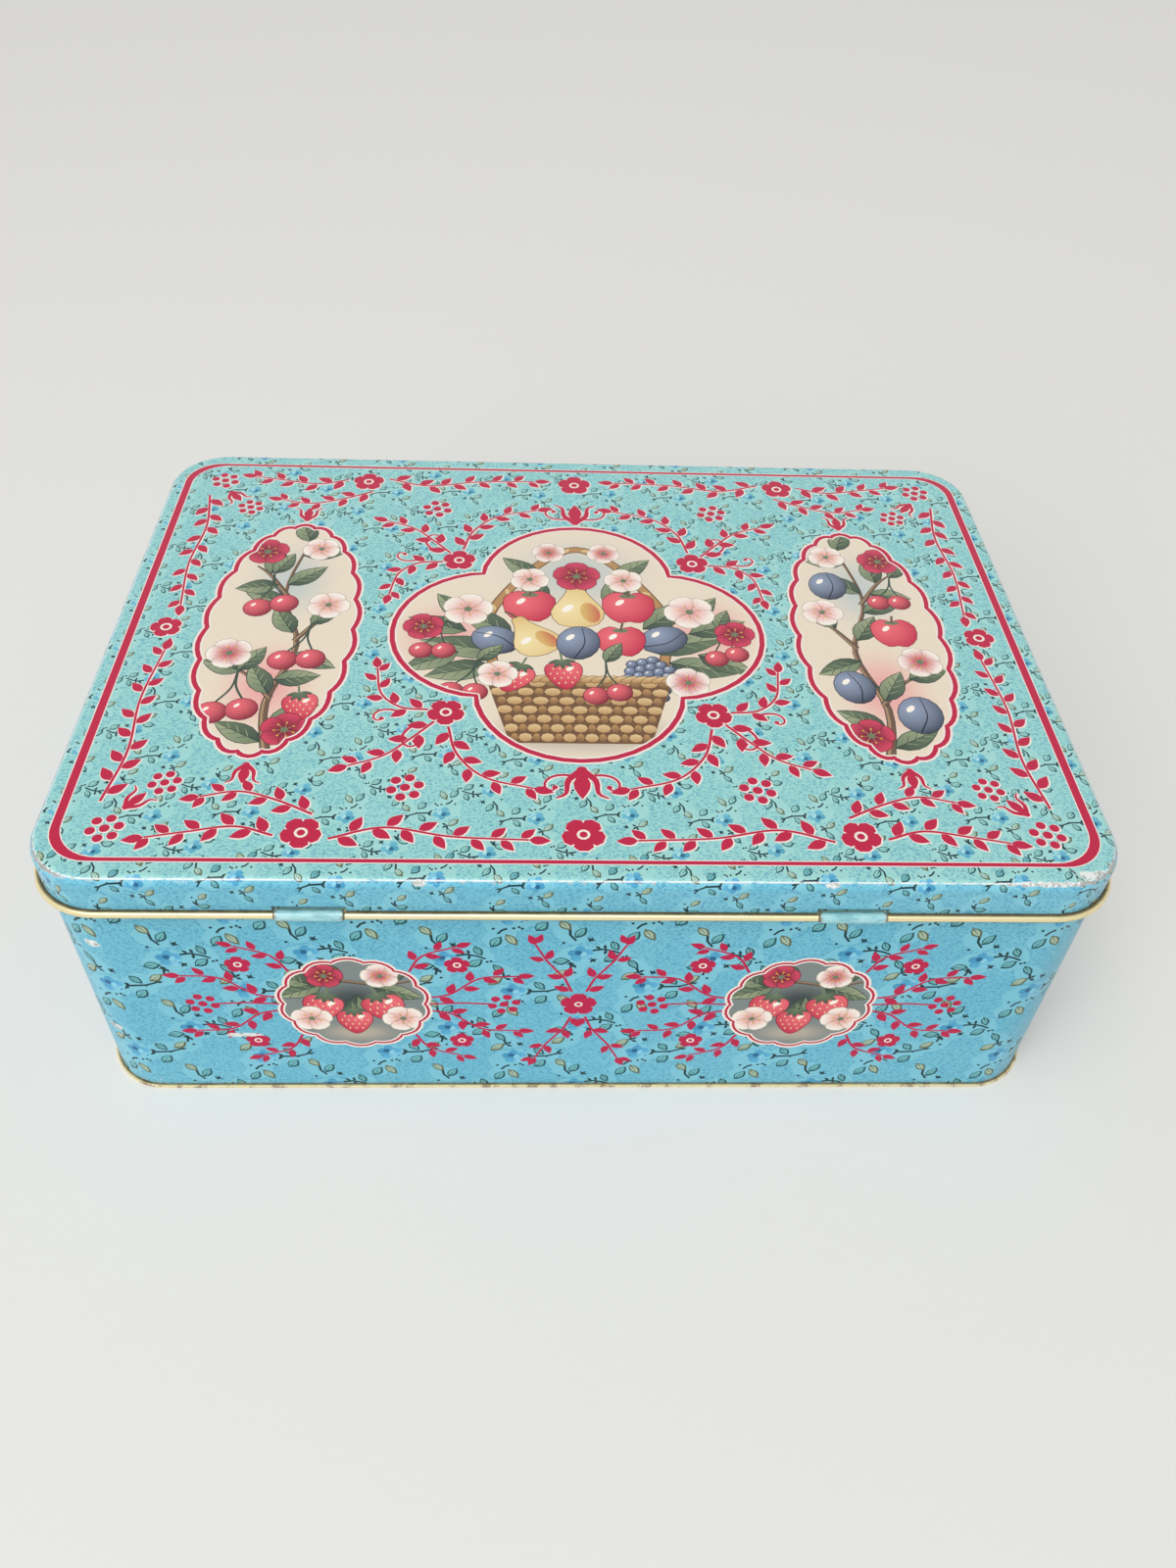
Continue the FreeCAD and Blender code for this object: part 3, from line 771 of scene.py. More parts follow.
def basket(art, foot, width, height):
    """Woven basket that widens to its rim."""
    rows, columns, rim_turns = 7, 13, 19
    spread = 0.72
    corners = [foot - width * spread / 2, foot + width * spread / 2,
               foot + complex(width / 2, height), foot + complex(-width / 2, height)]
    art.paint(swelled(corners, 0.5), plain(CANE_DARK))
    for row in range(rows):
        row_width = width * (spread + (1 - spread) * (row + 0.5) / rows)
        pitch = row_width / columns
        for column in range(columns):
            middle = foot + complex((column - (columns - 1) / 2) * pitch, height * (row + 0.5) / rows)
            raised = (row + column) % 2
            strand = oval(middle, pitch * (0.62 if raised else 0.34), height / rows * 0.45, 1, 8)
            tones = (CANE_LIGHT, CANE) if raised else (CANE, CANE_DARK)
            art.paint(strand, wash(*tones, middle + 0.3j * height / rows, middle - 0.5j * height / rows))
    rim = foot + 1j * height
    for number in range(rim_turns):
        middle = rim + width * 1.04 * ((number + 0.5) / rim_turns - 0.5)
        strand = oval(middle, 2.9, 1.25, turn(24), 8)
        art.paint(swelled(strand, 0.25), plain(CANE_DARK))
        art.paint(strand, wash(CANE_LIGHT, CANE, middle + 1j, middle - 1j))


def cloud(art, middle, half_length, half_width, tone, ground):
    """Soft patch of colour on a picture's ground."""

    def haze(place):
        offset = place - middle
        share = min(math.hypot(offset.real / half_length, offset.imag / half_width), 1.0)
        share = share * share * (3 - 2 * share)
        return (*(t + (g - t) * share for t, g in zip(tone, ground)), 1.0)

    for share in (1.0, 0.82, 0.64, 0.46, 0.28):
        art.paint(oval(middle, half_length * share, half_width * share, 1, 20), haze)


def picture_frame(art, outline, inks, rim, ground):
    """Crimson rim with a pale edge round a ground, which masks all paint until the mask is taken off."""
    art.paint(swelled(outline, rim + 0.7), plain(inks.edging))
    art.paint(swelled(outline, rim), plain(inks.crimson))
    art.paint(swelled(outline, 0.55), plain(inks.edging))
    art.mask = art.paint(outline, plain(ground))


def paint_motifs(art, middle, motifs):
    """Paint motifs one over another, each given with its place about a middle and its size."""
    for motif, at, *shape in motifs:
        motif(art, middle + at, *shape)


def basket_picture(art, inks):
    """Heaped fruit basket in the middle of the lid."""
    picture_frame(art, quatrefoil(0, 55, 29), inks, 2.1, inks.cream)
    cream = tuple(inks.cream)
    cloud(art, 0 + 30j, 30, 26, SKY, cream)
    cloud(art, -40 - 2j, 18, 20, BLUSH, cream)
    cloud(art, 40 + 2j, 18, 20, BLUSH, cream)
    cloud(art, 0 - 46j, 42, 11, SHADE, cream)
    handle = smooth([-25 - 20j, -26 + 12j, 0 + 44j, 26 + 12j, 25 - 20j], 9)
    art.paint(stroke(handle, 3.4), plain(CANE_DARK))
    art.paint(stroke(handle, 2.5), plain(CANE))
    for place, heading in list(zip(handle, headings(handle)))[1::2]:
        art.paint(oval(place, 1.6, 0.7, heading * turn(35), 6), plain(CANE_LIGHT))
    for base, degrees, reach, width in (
        (-22 - 10j, 168, 26, 10), (-20 - 2j, 140, 22, 9), (-10 + 14j, 112, 20, 8), (20 - 8j, 14, 26, 10),
        (20 + 2j, 42, 22, 9), (9 + 14j, 68, 20, 8), (0 + 18j, 92, 18, 8), (-26 - 16j, 196, 20, 9),
        (27 - 14j, -14, 20, 9), (-34 + 0j, 160, 19, 8), (-34 + 6j, 128, 16, 7), (-36 - 10j, 208, 18, 8),
        (34 + 0j, 20, 19, 8), (34 + 6j, 52, 16, 7), (36 - 10j, -28, 18, 8), (-12 + 28j, 138, 16, 7),
        (12 + 28j, 42, 16, 7),
    ):
        painted_leaf(art, base, reach * turn(degrees), width)
    paint_motifs(art, 0, (
        (apple, -15 + 13j, 1.1), (apple, 16 + 13j, 1.1), (pear, 0 + 11j, 92, 1.15),
        (plum, -25 - 4j, 150, 1.15), (plum, 26 - 3j, 30, 1.15), (pear, -13 - 4j, 118, 1.0),
        (apple, 13 - 4j, 1.0), (plum, 0 - 5j, 80, 1.2),
        (cherries, -41 + 4j, -100, 0.9), (cherries, 43 + 3j, -82, 0.9), (grapes, 19 - 14j, -72, 0.95),
        (blossom, -34 + 11j, 7.8, 10), (blossom, 35 + 11j, 8.0, 44),
        (blossom, -47 + 2j, 6.2, 32, RED_DEEP, ROSE), (blossom, 48 + 0j, 6.2, 8, RED_DEEP, ROSE),
        (blossom, 0 + 29j, 7.6, 18, RED_DEEP, ROSE), (blossom, -15 + 27j, 6.2, 60),
        (blossom, 15 + 27j, 6.2, 30), (blossom, -9 + 42j, 5.4, 24, ROSE),
        (blossom, 9 + 42j, 5.4, 52, ROSE), (basket, 0 - 49j, 54, 27),
        (strawberry, -17 - 16j, -112, 1.0), (strawberry, -5 - 14j, -84, 1.0),
        (cherries, 8 - 14j, -88, 0.95), (cherries, -30 - 14j, -104, 0.95),
        (blossom, -24 - 20j, 6.0, 5), (blossom, 32 - 23j, 6.6, 25, ROSE),
        (strawberry, -36 - 38j, -20, 0.9), (cherry, 34 - 42j, 3.8), (cherry, 40 - 38j, 3.6),
    ))
    art.mask = None


def branch_picture(art, middle, inks, side):
    """Upright fruiting branch in one of the lid's end ovals."""
    picture_frame(art, lobed(middle, 20.5, 53, 22, 1.5), inks, 2.0, inks.cream)
    cream = tuple(inks.cream)
    cloud(art, middle + 24j, 17, 26, SKY, cream)
    cloud(art, middle - 26j, 17, 24, BLUSH, cream)

    def place(across, up):
        return middle + complex(across * side, up)

    def bearing(degrees):
        return degrees if side > 0 else 180 - degrees

    twig(art, [place(-5, -58), place(-1, -34), place(-6, -8), place(1, 18), place(-3, 46)], 2.6)
    twig(art, [place(-2, -32), place(6, -22), place(13, -18)], 1.6)
    twig(art, [place(-5, -6), place(-11, 4), place(-15, 8)], 1.6)
    twig(art, [place(0, 16), place(7, 27), place(12, 32)], 1.5)
    for across, up, degrees, reach in (
        (-3, -42, 150, 15), (-1, -30, 62, 15), (8, -20, 20, 13), (-5, -12, 205, 15), (-10, 4, 120, 14),
        (0, 12, 28, 16), (1, 22, 138, 15), (7, 28, 95, 14), (-2, 38, 165, 15), (-3, 46, 70, 13),
        (-2, -50, 30, 16), (-4, -2, 60, 14), (-2, -24, 170, 13), (4, 22, -10, 13),
    ):
        painted_leaf(art, place(across, up), reach * turn(bearing(degrees)), 7.0)
    fruit = (
        (plum, place(8, -36), 80, 1.2), (plum, place(-9, -24), 100, 1.1), (apple, place(8, 2), 0.95),
        (plum, place(-9, 26), 84, 1.1), (cherries, place(12, 31), -100, 0.9),
    ) if side > 0 else (
        (cherries, place(9, -20), -90, 1.15), (cherries, place(-9, 2), -96, 1.1),
        (cherries, place(6, 28), -84, 1.1), (strawberry, place(-10, -30), -80, 0.9),
    )
    paint_motifs(art, 0, (
        *fruit, (blossom, place(-8, -45), 6.8, 12, RED_DEEP, ROSE),
        (blossom, place(13, -12), 6.8, 40, ROSE), (blossom, place(-13, 12), 6.6, 66),
        (blossom, place(10, 40), 6.8, 22, RED_DEEP, ROSE), (blossom, place(-7, 42), 6.0, 50),
    ))
    art.mask = None


def berry_picture(art, middle, inks):
    """Strawberries and blossom in a round on the wall."""
    picture_frame(art, lobed(middle, 18.5, 18.5, 14, 1.3), inks, 1.3, DUSK)
    cloud(art, middle + 2j, 16, 11, NIGHT, DUSK)
    cloud(art, middle - 14j, 15, 6, SHADE, DUSK)
    twig(art, [middle + place for place in (-20 + 7j, -6 + 11j, 8 + 9j, 20 + 12j)], 1.5)
    for base, degrees, reach in (
        (-8 + 9j, 205, 14), (6 + 8j, -22, 14), (-3 + 10j, 118, 12), (9 + 10j, 58, 11),
        (-11 + 9j, 150, 10), (1 + 4j, -96, 18), (-4 + 2j, 232, 16), (5 + 2j, -58, 16),
    ):
        painted_leaf(art, middle + base, reach * turn(degrees), 6.2)
    paint_motifs(art, middle, (
        (strawberry, -7.5 + 4j, -104, 1.0), (strawberry, 6.5 + 4j, -72, 1.05),
        (strawberry, -0.5 - 3j, -90, 0.9), (blossom, -12.5 - 7j, 5.8, 15), (blossom, 13 - 7j, 5.8, 40),
        (blossom, -7 + 13j, 5.2, 10, RED_DEEP, ROSE), (blossom, 8 + 13j, 5.2, 30, ROSE),
    ))
    art.mask = None


# The two printed sheets, unrolled


class LidSkin:
    """Outside of the lid laid flat: its top as it is, shoulder and skirt unrolled beyond its edge."""

    CORNER_STEPS = 18
    SHOULDER_STEPS = 8

    def __init__(self, sizes):
        half = complex(LID_HIGH.x - sizes.bead_overhang, LID_HIGH.y - sizes.bead_overhang) / MM
        self.shoulder = sizes.shoulder_radius / MM
        self.flat_radius = sizes.corner_radius / MM - self.shoulder
        self.corner = half - (1 + 1j) * sizes.corner_radius / MM
        self.top = LID_HIGH.z / MM
        self.bend = self.shoulder * math.pi / 2
        foot = (HINGE["pos_m"][2] + sizes.bead_margin) / MM
        self.reach = self.bend + self.top - self.shoulder - foot
        self.edge = self.ring(self.reach)
        self.names = ("lid_print_left", "lid_print_right")

    def ring(self, beyond):
        """Line round the lid at a distance beyond the edge of its flat top."""
        return rounded(self.corner, self.flat_radius + beyond, self.CORNER_STEPS)

    def split(self):
        """Line between the two panels."""
        half_width = 1j * (self.corner.imag + self.flat_radius + self.reach)
        return [-half_width, half_width]

    def folds(self, panel):
        """Lines that one panel's film bends along."""
        quarter = self.CORNER_STEPS + 1

        def half(ring):
            return ring[quarter:3 * quarter] if panel == 0 else ring[3 * quarter:] + ring[:quarter]

        lines = []
        for step in range(self.SHOULDER_STEPS + 1):
            ring = half(self.ring(self.bend * step / self.SHOULDER_STEPS))
            lines.append([1j * ring[0].imag, *ring, 1j * ring[-1].imag])
        lines += ([inner, outer] for inner, outer in zip(half(self.ring(0)), half(self.edge)))
        return lines

    def beyond(self, place):
        """How far a place lies beyond the edge of the flat top, and which way is outwards."""
        over = complex(abs(place.real) - self.corner.real, abs(place.imag) - self.corner.imag)
        if over.real > 0 and over.imag > 0:
            outward = over / abs(over)
            distance = abs(over)
        elif over.real > over.imag:
            outward = 1
            distance = over.real
        else:
            outward = 1j
            distance = over.imag
        across = math.copysign(outward.real, place.real)
        up = math.copysign(outward.imag, place.imag)
        return distance - self.flat_radius, complex(across, up)

    def lay(self, place):
        """Point on the lid and its outward normal, in millimetres."""
        distance, outward = self.beyond(place)
        if distance <= 0:
            return Vector((place.real, place.imag, self.top)), Vector((0, 0, 1))
        angle = min(distance / self.shoulder, math.pi / 2)
        out = self.shoulder * math.sin(angle) - distance
        drop = self.shoulder * (1 - math.cos(angle)) + max(distance - self.bend, 0)
        spot = place + outward * out
        lean = outward * math.sin(angle)
        normal = Vector((lean.real, lean.imag, math.cos(angle)))
        return Vector((spot.real, spot.imag, self.top - drop)), normal

    def panel(self, place):
        """Which of the two panels a place is on."""
        return int(place.real > 0)

    def rub(self, place):
        """How much the print is rubbed: most along the shoulder and at its corners."""
        distance, outward = self.beyond(place)
        ridge = max(0.0, 1 - abs(distance - self.bend / 2) / (0.6 * self.bend))
        return ridge * (0.6 + 0.8 * abs(outward.real * outward.imag))


class WallSkin:
    """Outside of the wall laid flat, from one side of the lock seam round to the other."""

    CORNER_STEPS = 18
    SEAM_GAP = 0.3

    def __init__(self, sizes):
        setback = sizes.bead_overhang + sizes.wall_setback
        half = complex(LID_HIGH.x - setback, LID_HIGH.y - setback) / MM
        self.radius = (sizes.corner_radius - sizes.wall_setback) / MM
        corner = half - (1 + 1j) * self.radius
        self.arc = self.radius * math.pi / 2
        self.front = -1j * half.imag
        self.straights = (corner.real, 2 * corner.imag, 2 * corner.real, 2 * corner.imag, corner.real)
        self.around = sum(self.straights) + 4 * self.arc
        self.end_middle = corner.real + self.arc + corner.imag
        seam = self.end_middle - sizes.seam_offset / MM
        self.start = seam - self.around + self.SEAM_GAP
        self.stop = seam - self.SEAM_GAP
        self.foot = sizes.foot_margin / MM
        self.head = (HINGE["pos_m"][2] + sizes.neck_overlap) / MM
        self.edge = rectangle(complex(self.start, self.foot), complex(self.stop, self.head))
        self.names = ("wall_print_front", "wall_print_back")

    def bends(self):
        """Where round the wall each corner starts."""
        run = 0.0
        for straight in self.straights[:-1]:
            run += straight
            yield run
            run += self.arc

    def split(self):
        """Line between the two panels."""
        return [complex(-self.end_middle, self.foot), complex(-self.end_middle, self.head)]

    def folds(self, panel):
        """Lines that one panel's film bends along."""
        lines = []
        for bend in self.bends():
            for step in range(self.CORNER_STEPS + 1):
                run = bend + self.arc * step / self.CORNER_STEPS
                foot = complex(run if run < self.stop else run - self.around, self.foot)
                if self.panel(foot) == panel:
                    lines.append([foot, complex(foot.real, self.head)])
        return lines

    def lay(self, place):
        """Point on the wall and its outward normal, in millimetres."""
        run = place.real % self.around
        spot = self.front
        heading = 1 + 0j
        for straight in self.straights:
            if run <= straight:
                spot += run * heading
                normal = -1j * heading
                break
            spot += straight * heading
            run -= straight
            middle = spot + 1j * heading * self.radius
            if run <= self.arc:
                normal = -1j * heading * turn(math.degrees(run / self.radius))
                spot = middle + self.radius * normal
                break
            spot = middle + self.radius * heading
            heading *= 1j
            run -= self.arc
        return Vector((spot.real, spot.imag, place.imag)), Vector((normal.real, normal.imag, 0))

    def panel(self, place):
        """Which of the two panels a place is on."""
        return int(place.real < -self.end_middle)

    def rub(self, place):
        """How much the print is rubbed: most along the upright corners and the foot."""
        run = place.real % self.around
        corner = max(1 - abs(run - bend - self.arc / 2) / self.arc for bend in self.bends())
        foot = max(0.0, 1 - (place.imag - self.foot) / 2.5)
        return max(0.42 * max(corner, 0.0) ** 2, 0.7 * foot)


class Cutting:
    """Outlines and lines that are cut into triangles together."""

    INSIDE_ONLY = 1

    def __init__(self):
        self.corners = []
        self.edges = []
        self.faces = []

    def add(self, places):
        """Take places in, and return their numbers."""
        first = len(self.corners)
        self.corners.extend((place.real, place.imag) for place in places)
        return list(range(first, len(self.corners)))

    def outline(self, places):
        """Closed outline, which then owns the triangles inside it."""
        self.faces.append(self.add(places))

    def line(self, places):
        """Open line."""
        numbers = self.add(places)
        self.edges += zip(numbers, numbers[1:])

    def cut(self):
        """Places, triangles, the outlines owning each triangle, the corners that became each place."""
        corners = [Vector(corner) for corner in self.corners]
        spots, _, triangles, origins, _, owners = delaunay_2d_cdt(
            corners, self.edges, self.faces, self.INSIDE_ONLY, WELD, True
        )
        return [complex(*spot) for spot in spots], triangles, owners, origins


def lay_film(art, skin, holes, lift):
    """Lay artwork over a skin as closed films, one for each of its panels. Returns the objects."""
    cutting = Cutting()
    for outline in (skin.edge, *holes):
        cutting.outline(outline)
    for line in (*skin.folds(0), *skin.folds(1), skin.split()):
        cutting.line(line)
    sheet_corners = len(cutting.corners)
    for outline in art.outlines:
        cutting.outline(outline)
    places, triangles, owners, origins = cutting.cut()
    middle = skin.split()[0].real
    places = [
        complex(middle, place.imag) if abs(place.real - middle) < WELD else place for place in places
    ]
    first_art = 1 + len(holes)
    panels = [([], []) for _ in skin.names]
    for triangle, owner in zip(triangles, owners):
        if 0 not in owner or any(0 < number < first_art for number in owner):
            continue
        top = art.topmost({number - first_art for number in owner if number >= first_art})
        members, tones = panels[skin.panel(sum(places[number] for number in triangle) / 3)]
        members.append(tuple(triangle))
        if top is None:
            tones += [STIPPLED] * len(triangle)
        else:
            tones += [art.inks[top](places[number]) for number in triangle]
    fixed = {
        number for number, origin in enumerate(origins)
        if min(origin, default=sheet_corners) < sheet_corners
    }
    films = []
    for panel, (members, tones) in enumerate(panels):
        chains = rim_chains(members, fixed)
        own_holes = [hole for hole in holes if skin.panel(hole[0]) == panel]
        back = back_of(chains, places, skin.folds(panel), own_holes)
        films.append(make_film(skin.names[panel], places, members, tones, chains, back, skin, lift))
    return films


def rim_chains(members, fixed):
    """Rim of the triangles, in chains that each run from one fixed corner of the sheet to the next."""
    sides = {side for member in members for side in zip(member, member[1:] + member[:1])}
    following = {start: end for start, end in sides if (end, start) not in sides}
    chains = []
    for start in sorted(fixed & following.keys()):
        chain = [start, following[start]]
        while chain[-1] not in fixed:
            chain.append(following[chain[-1]])
        chains.append(chain)
    return chains


def back_of(chains, places, folds, holes):
    """Coarse back of a panel from its fixed corners and folds: places, triangles, where corners went."""
    numbers = sorted(chain[0] for chain in chains)
    index = {number: order for order, number in enumerate(numbers)}
    cutting = Cutting()
    cutting.add(places[number] for number in numbers)
    cutting.edges += ((index[chain[0]], index[chain[-1]]) for chain in chains)
    for hole in holes:
        cutting.outline(hole)
    for fold in folds:
        cutting.line(fold)
    spots, triangles, owners, origins = cutting.cut()
    landed = {}
    for spot, origin in enumerate(origins):
        for corner in origin:
            if corner < len(numbers):
                landed[numbers[corner]] = spot
    return spots, [triangle for triangle, owner in zip(triangles, owners) if not owner], landed


def make_film(name, places, members, tones, chains, back, skin, lift):
    """Closed thin mesh of one panel: printed face, coarse back and rim, with inks on the face."""
    back_places, back_members, landed = back
    used = sorted({number for member in members for number in member})
    index = {number: order for order, number in enumerate(used)}
    count = len(used)
    face = [tuple(index[number] for number in member) for member in members]
    face += [tuple(count + number for number in reversed(member)) for member in back_members]
    for chain in chains:
        front = [index[number] for number in reversed(chain)]
        face.append((*front, count + landed[chain[0]], count + landed[chain[-1]]))
    laid = [skin.lay(places[number]) for number in used]
    laid_back = [skin.lay(place) for place in back_places]
    points = [spot * MM + normal * lift for spot, normal in laid]
    points += [spot * MM + normal * lift / 5 for spot, normal in laid_back]
    mesh = bpy.data.meshes.new(name)
    mesh.from_pydata(points, [], face)
    mesh.shade_smooth()
    normals = [laid[index[number]][1] for member in members for number in member]
    normals += [-laid_back[number][1] for member in back_members for number in reversed(member)]
    rim_faces = mesh.polygons[len(members) + len(back_members):]
    normals += [polygon.normal.copy() for polygon in rim_faces for _ in polygon.vertices]
    mesh.normals_split_custom_set(normals)
    inks = mesh.color_attributes.new("ink", "FLOAT_COLOR", "CORNER")
    unprinted = len(mesh.loops) - len(tones)
    inks.data.foreach_set("color", [part for tone in tones for part in tone] + [0.0] * (4 * unprinted))
    rub = mesh.attributes.new("rub", "FLOAT", "POINT")
    rubbed = [skin.rub(places[number]) for number in used]
    rub.data.foreach_set("value", rubbed + [0.0] * len(back_places))
    film = bpy.data.objects.new(name, mesh)
    bpy.context.scene.collection.objects.link(film)
    return film


# Materials


class Value:
    """Output of a shader node. Arithmetic on it adds Math nodes."""

    def __init__(self, nodes, socket):
        self.nodes = nodes
        self.socket = socket

    def math(self, operation, *others):
        return self.nodes.node("ShaderNodeMath", {"operation": operation}, dict(enumerate(others)))

    def __abs__(self):
        return self.math("ABSOLUTE", self)

    def __add__(self, other):
        return self.math("ADD", self, other)

    __radd__ = __add__

    def __sub__(self, other):
        return self.math("SUBTRACT", self, other)

    def __rsub__(self, other):
        return self.math("SUBTRACT", other, self)

    def __mul__(self, other):
        return self.math("MULTIPLY", self, other)

    __rmul__ = __mul__

    def __truediv__(self, other):
        return self.math("DIVIDE", self, other)

    def most(self, other):
        """The larger of two values."""
        return self.math("MAXIMUM", self, other)

    def step(self, low, high):
        """Soft step from 0 at low to 1 at high."""
        return self.nodes.node(
            "ShaderNodeMapRange", {"interpolation_type": "SMOOTHSTEP"},
            {"Value": self, "From Min": low, "From Max": high},
        )


class Nodes:
    """Node tree under construction."""

    def __init__(self, owner):
        owner.use_nodes = True
        self.tree = owner.node_tree

    def first(self, kind):
        """The node of a kind that the tree starts with."""
        return next(node for node in self.tree.nodes if node.bl_idname == kind)

    def node(self, kind, settings=None, sockets=None, output=0):
        """Add a node: settings first, then the values or links of its sockets. Returns one output."""
        node = self.tree.nodes.new(kind)
        for name, value in (settings or {}).items():
            setattr(node, name, value)
        self.feed(node, sockets or {})
        return Value(self, node.outputs[output])

    def feed(self, node, sockets):
        """Set or link the inputs of a node."""
        for name, value in sockets.items():
            if isinstance(value, Value):
                self.tree.links.new(value.socket, node.inputs[name])
            else:
                node.inputs[name].default_value = value


class Finish(Nodes):
    """Material under construction."""

    def __init__(self, name):
        self.material = bpy.data.materials.new(name)
        super().__init__(self.material)
        self.shader = self.first("ShaderNodeBsdfPrincipled")
        self.place = self.node("ShaderNodeTexCoord", output="Object")

    def wear(self, **sockets):
        """Set or link the inputs of the finish's own shader, named with underscores."""
        self.feed(self.shader, {name.replace("_", " ").title().replace("Ior", "IOR"): value
                                for name, value in sockets.items()})

    def noise(self, scale, detail=2.0, roughness=0.5, place=None):
        """Noise over the object, its scale in waves per metre."""
        return self.node("ShaderNodeTexNoise", None, {
            "Vector": place or self.place, "Scale": scale, "Detail": detail, "Roughness": roughness,
        })

    def stretched(self, across, along, up):
        """The object's coordinates, stretched."""
        return self.node("ShaderNodeMapping", None, {"Vector": self.place, "Scale": (across, along, up)})

    def combed(self, size, lean):
        """The object's coordinates in steps of a size, after leaning by an angle about Y and Z."""
        return self.node("ShaderNodeMapping", {"vector_type": "TEXTURE"}, {
            "Vector": self.place, "Rotation": (0.0, -lean, lean), "Scale": size,
        })

    def axis(self, name):
        """One of the object's coordinates."""
        return self.node("ShaderNodeSeparateXYZ", None, {"Vector": self.place}, output=name)

    def vector(self, operation, first, second=None, output=0):
        """Vector Math on one or two vectors."""
        sockets = {0: first} if second is None else {0: first, 1: second}
        return self.node("ShaderNodeVectorMath", {"operation": operation}, sockets, output)

    def beyond(self, sizes):
        """How far a place lies outside the middles of the tin's rounded corners, seen from above."""
        inset = sizes.bead_overhang + sizes.corner_radius
        corner = (LID_HIGH.x - inset, LID_HIGH.y - inset, 0.0)
        over = self.vector("SUBTRACT", self.vector("ABSOLUTE", self.place), corner)
        over = self.vector("MULTIPLY", self.vector("MAXIMUM", over, (0.0, 0.0, 0.0)), (1.0, 1.0, 0.0))
        return self.vector("LENGTH", over, output="Value")

    def past_strap(self, sizes):
        """How far a place lies past the ends of the nearer hinge strap, along the hinge."""
        return abs(abs(self.axis("X")) - sizes.strap_spacing / 2) - sizes.strap_length / 2

    def mix(self, share, first, last, blend="MIX"):
        """Mix of two colours."""
        sockets = {0: share}
        for number, tone in ((6, first), (7, last)):
            sockets[number] = tone if isinstance(tone, Value) else (*tone[:3], 1.0)
        return self.node("ShaderNodeMix", {"data_type": "RGBA", "blend_type": blend}, sockets, output=2)

    def near(self, spot, radii):
        """1 at a spot, falling to 0 at the given radii along the axes."""
        offset = self.vector("DIVIDE", self.vector("SUBTRACT", self.place, spot), radii)
        return 1 - self.vector("LENGTH", offset, output="Value")

    def bump(self, height, distance, strength=1.0):
        """Normal bent by a height between 0 and 1."""
        return self.node("ShaderNodeBump", None, {
            "Height": height, "Distance": distance, "Strength": strength,
        })


# Chips in the print, each a spot and its reach along the axes, in metres
LID_CHIPS = (
    ((-0.1385, -0.0955, 0.0925), (0.0028, 0.0028, 0.0022)),
    ((0.1190, -0.0988, 0.0945), (0.0150, 0.0018, 0.0006)),
    ((0.1300, -0.0960, 0.0950), (0.0070, 0.0016, 0.0008)),
    ((0.0620, -0.0990, 0.0940), (0.0030, 0.0016, 0.0010)),
    ((-0.0410, -0.0990, 0.0940), (0.0022, 0.0016, 0.0009)),
    ((0.1385, 0.0940, 0.0930), (0.0034, 0.0030, 0.0018)),
    ((-0.1388, 0.0420, 0.0938), (0.0016, 0.0046, 0.0010)),
)
WALL_CHIPS = (
    ((-0.1272, -0.0982, 0.0680), (0.0036, 0.0026, 0.0017)),
    ((-0.1308, -0.0965, 0.0276), (0.0032, 0.0030, 0.0016)),
    ((-0.0950, -0.0990, 0.0268), (0.0074, 0.0020, 0.0011)),
    ((0.1380, -0.0890, 0.0140), (0.0026, 0.0030, 0.0020)),
    ((0.0930, 0.0990, 0.0560), (0.0050, 0.0020, 0.0008)),
    ((-0.0300, 0.0990, 0.0060), (0.0030, 0.0020, 0.0016)),
)



# Length and widths of a dash in the ground, in metres, and how far dashes lean either way
DASH = (0.0013, 0.00044, 0.00044)
DASH_LEAN = math.radians(19)

# Blur between the two grounds at the lid's edge, and half width of the line there, worn white coat and
# partly a painted highlight, in metres
GROUND_BLUR = 0.0001
WORN_AND_HIGHLIT_LINE = 0.00018

# White coat where the print is worn, also the painted highlight along the lid's shoulder edge
WHITE_COAT_AND_HIGHLIGHT = ink("E9EBE8")
GRAIN_SHADE = (0.9, 0.93, 0.95)
PALE_LACQUER = ink("F6E9BE")
ROLL_MARKS = ink("B48A48")
RUST = ink("6E4630")
# Dark colour of the painted shade in folds, and of dirt
SHADE_AND_DIRT = ink("42391F")
PALE_ENAMEL = ink("BEDEDE")
SCUFFED_ENAMEL = ink("6FA8B2")
DRAWN_LINES = ink("6E6D69")
WIRE_RUST = ink("5B4A3C")


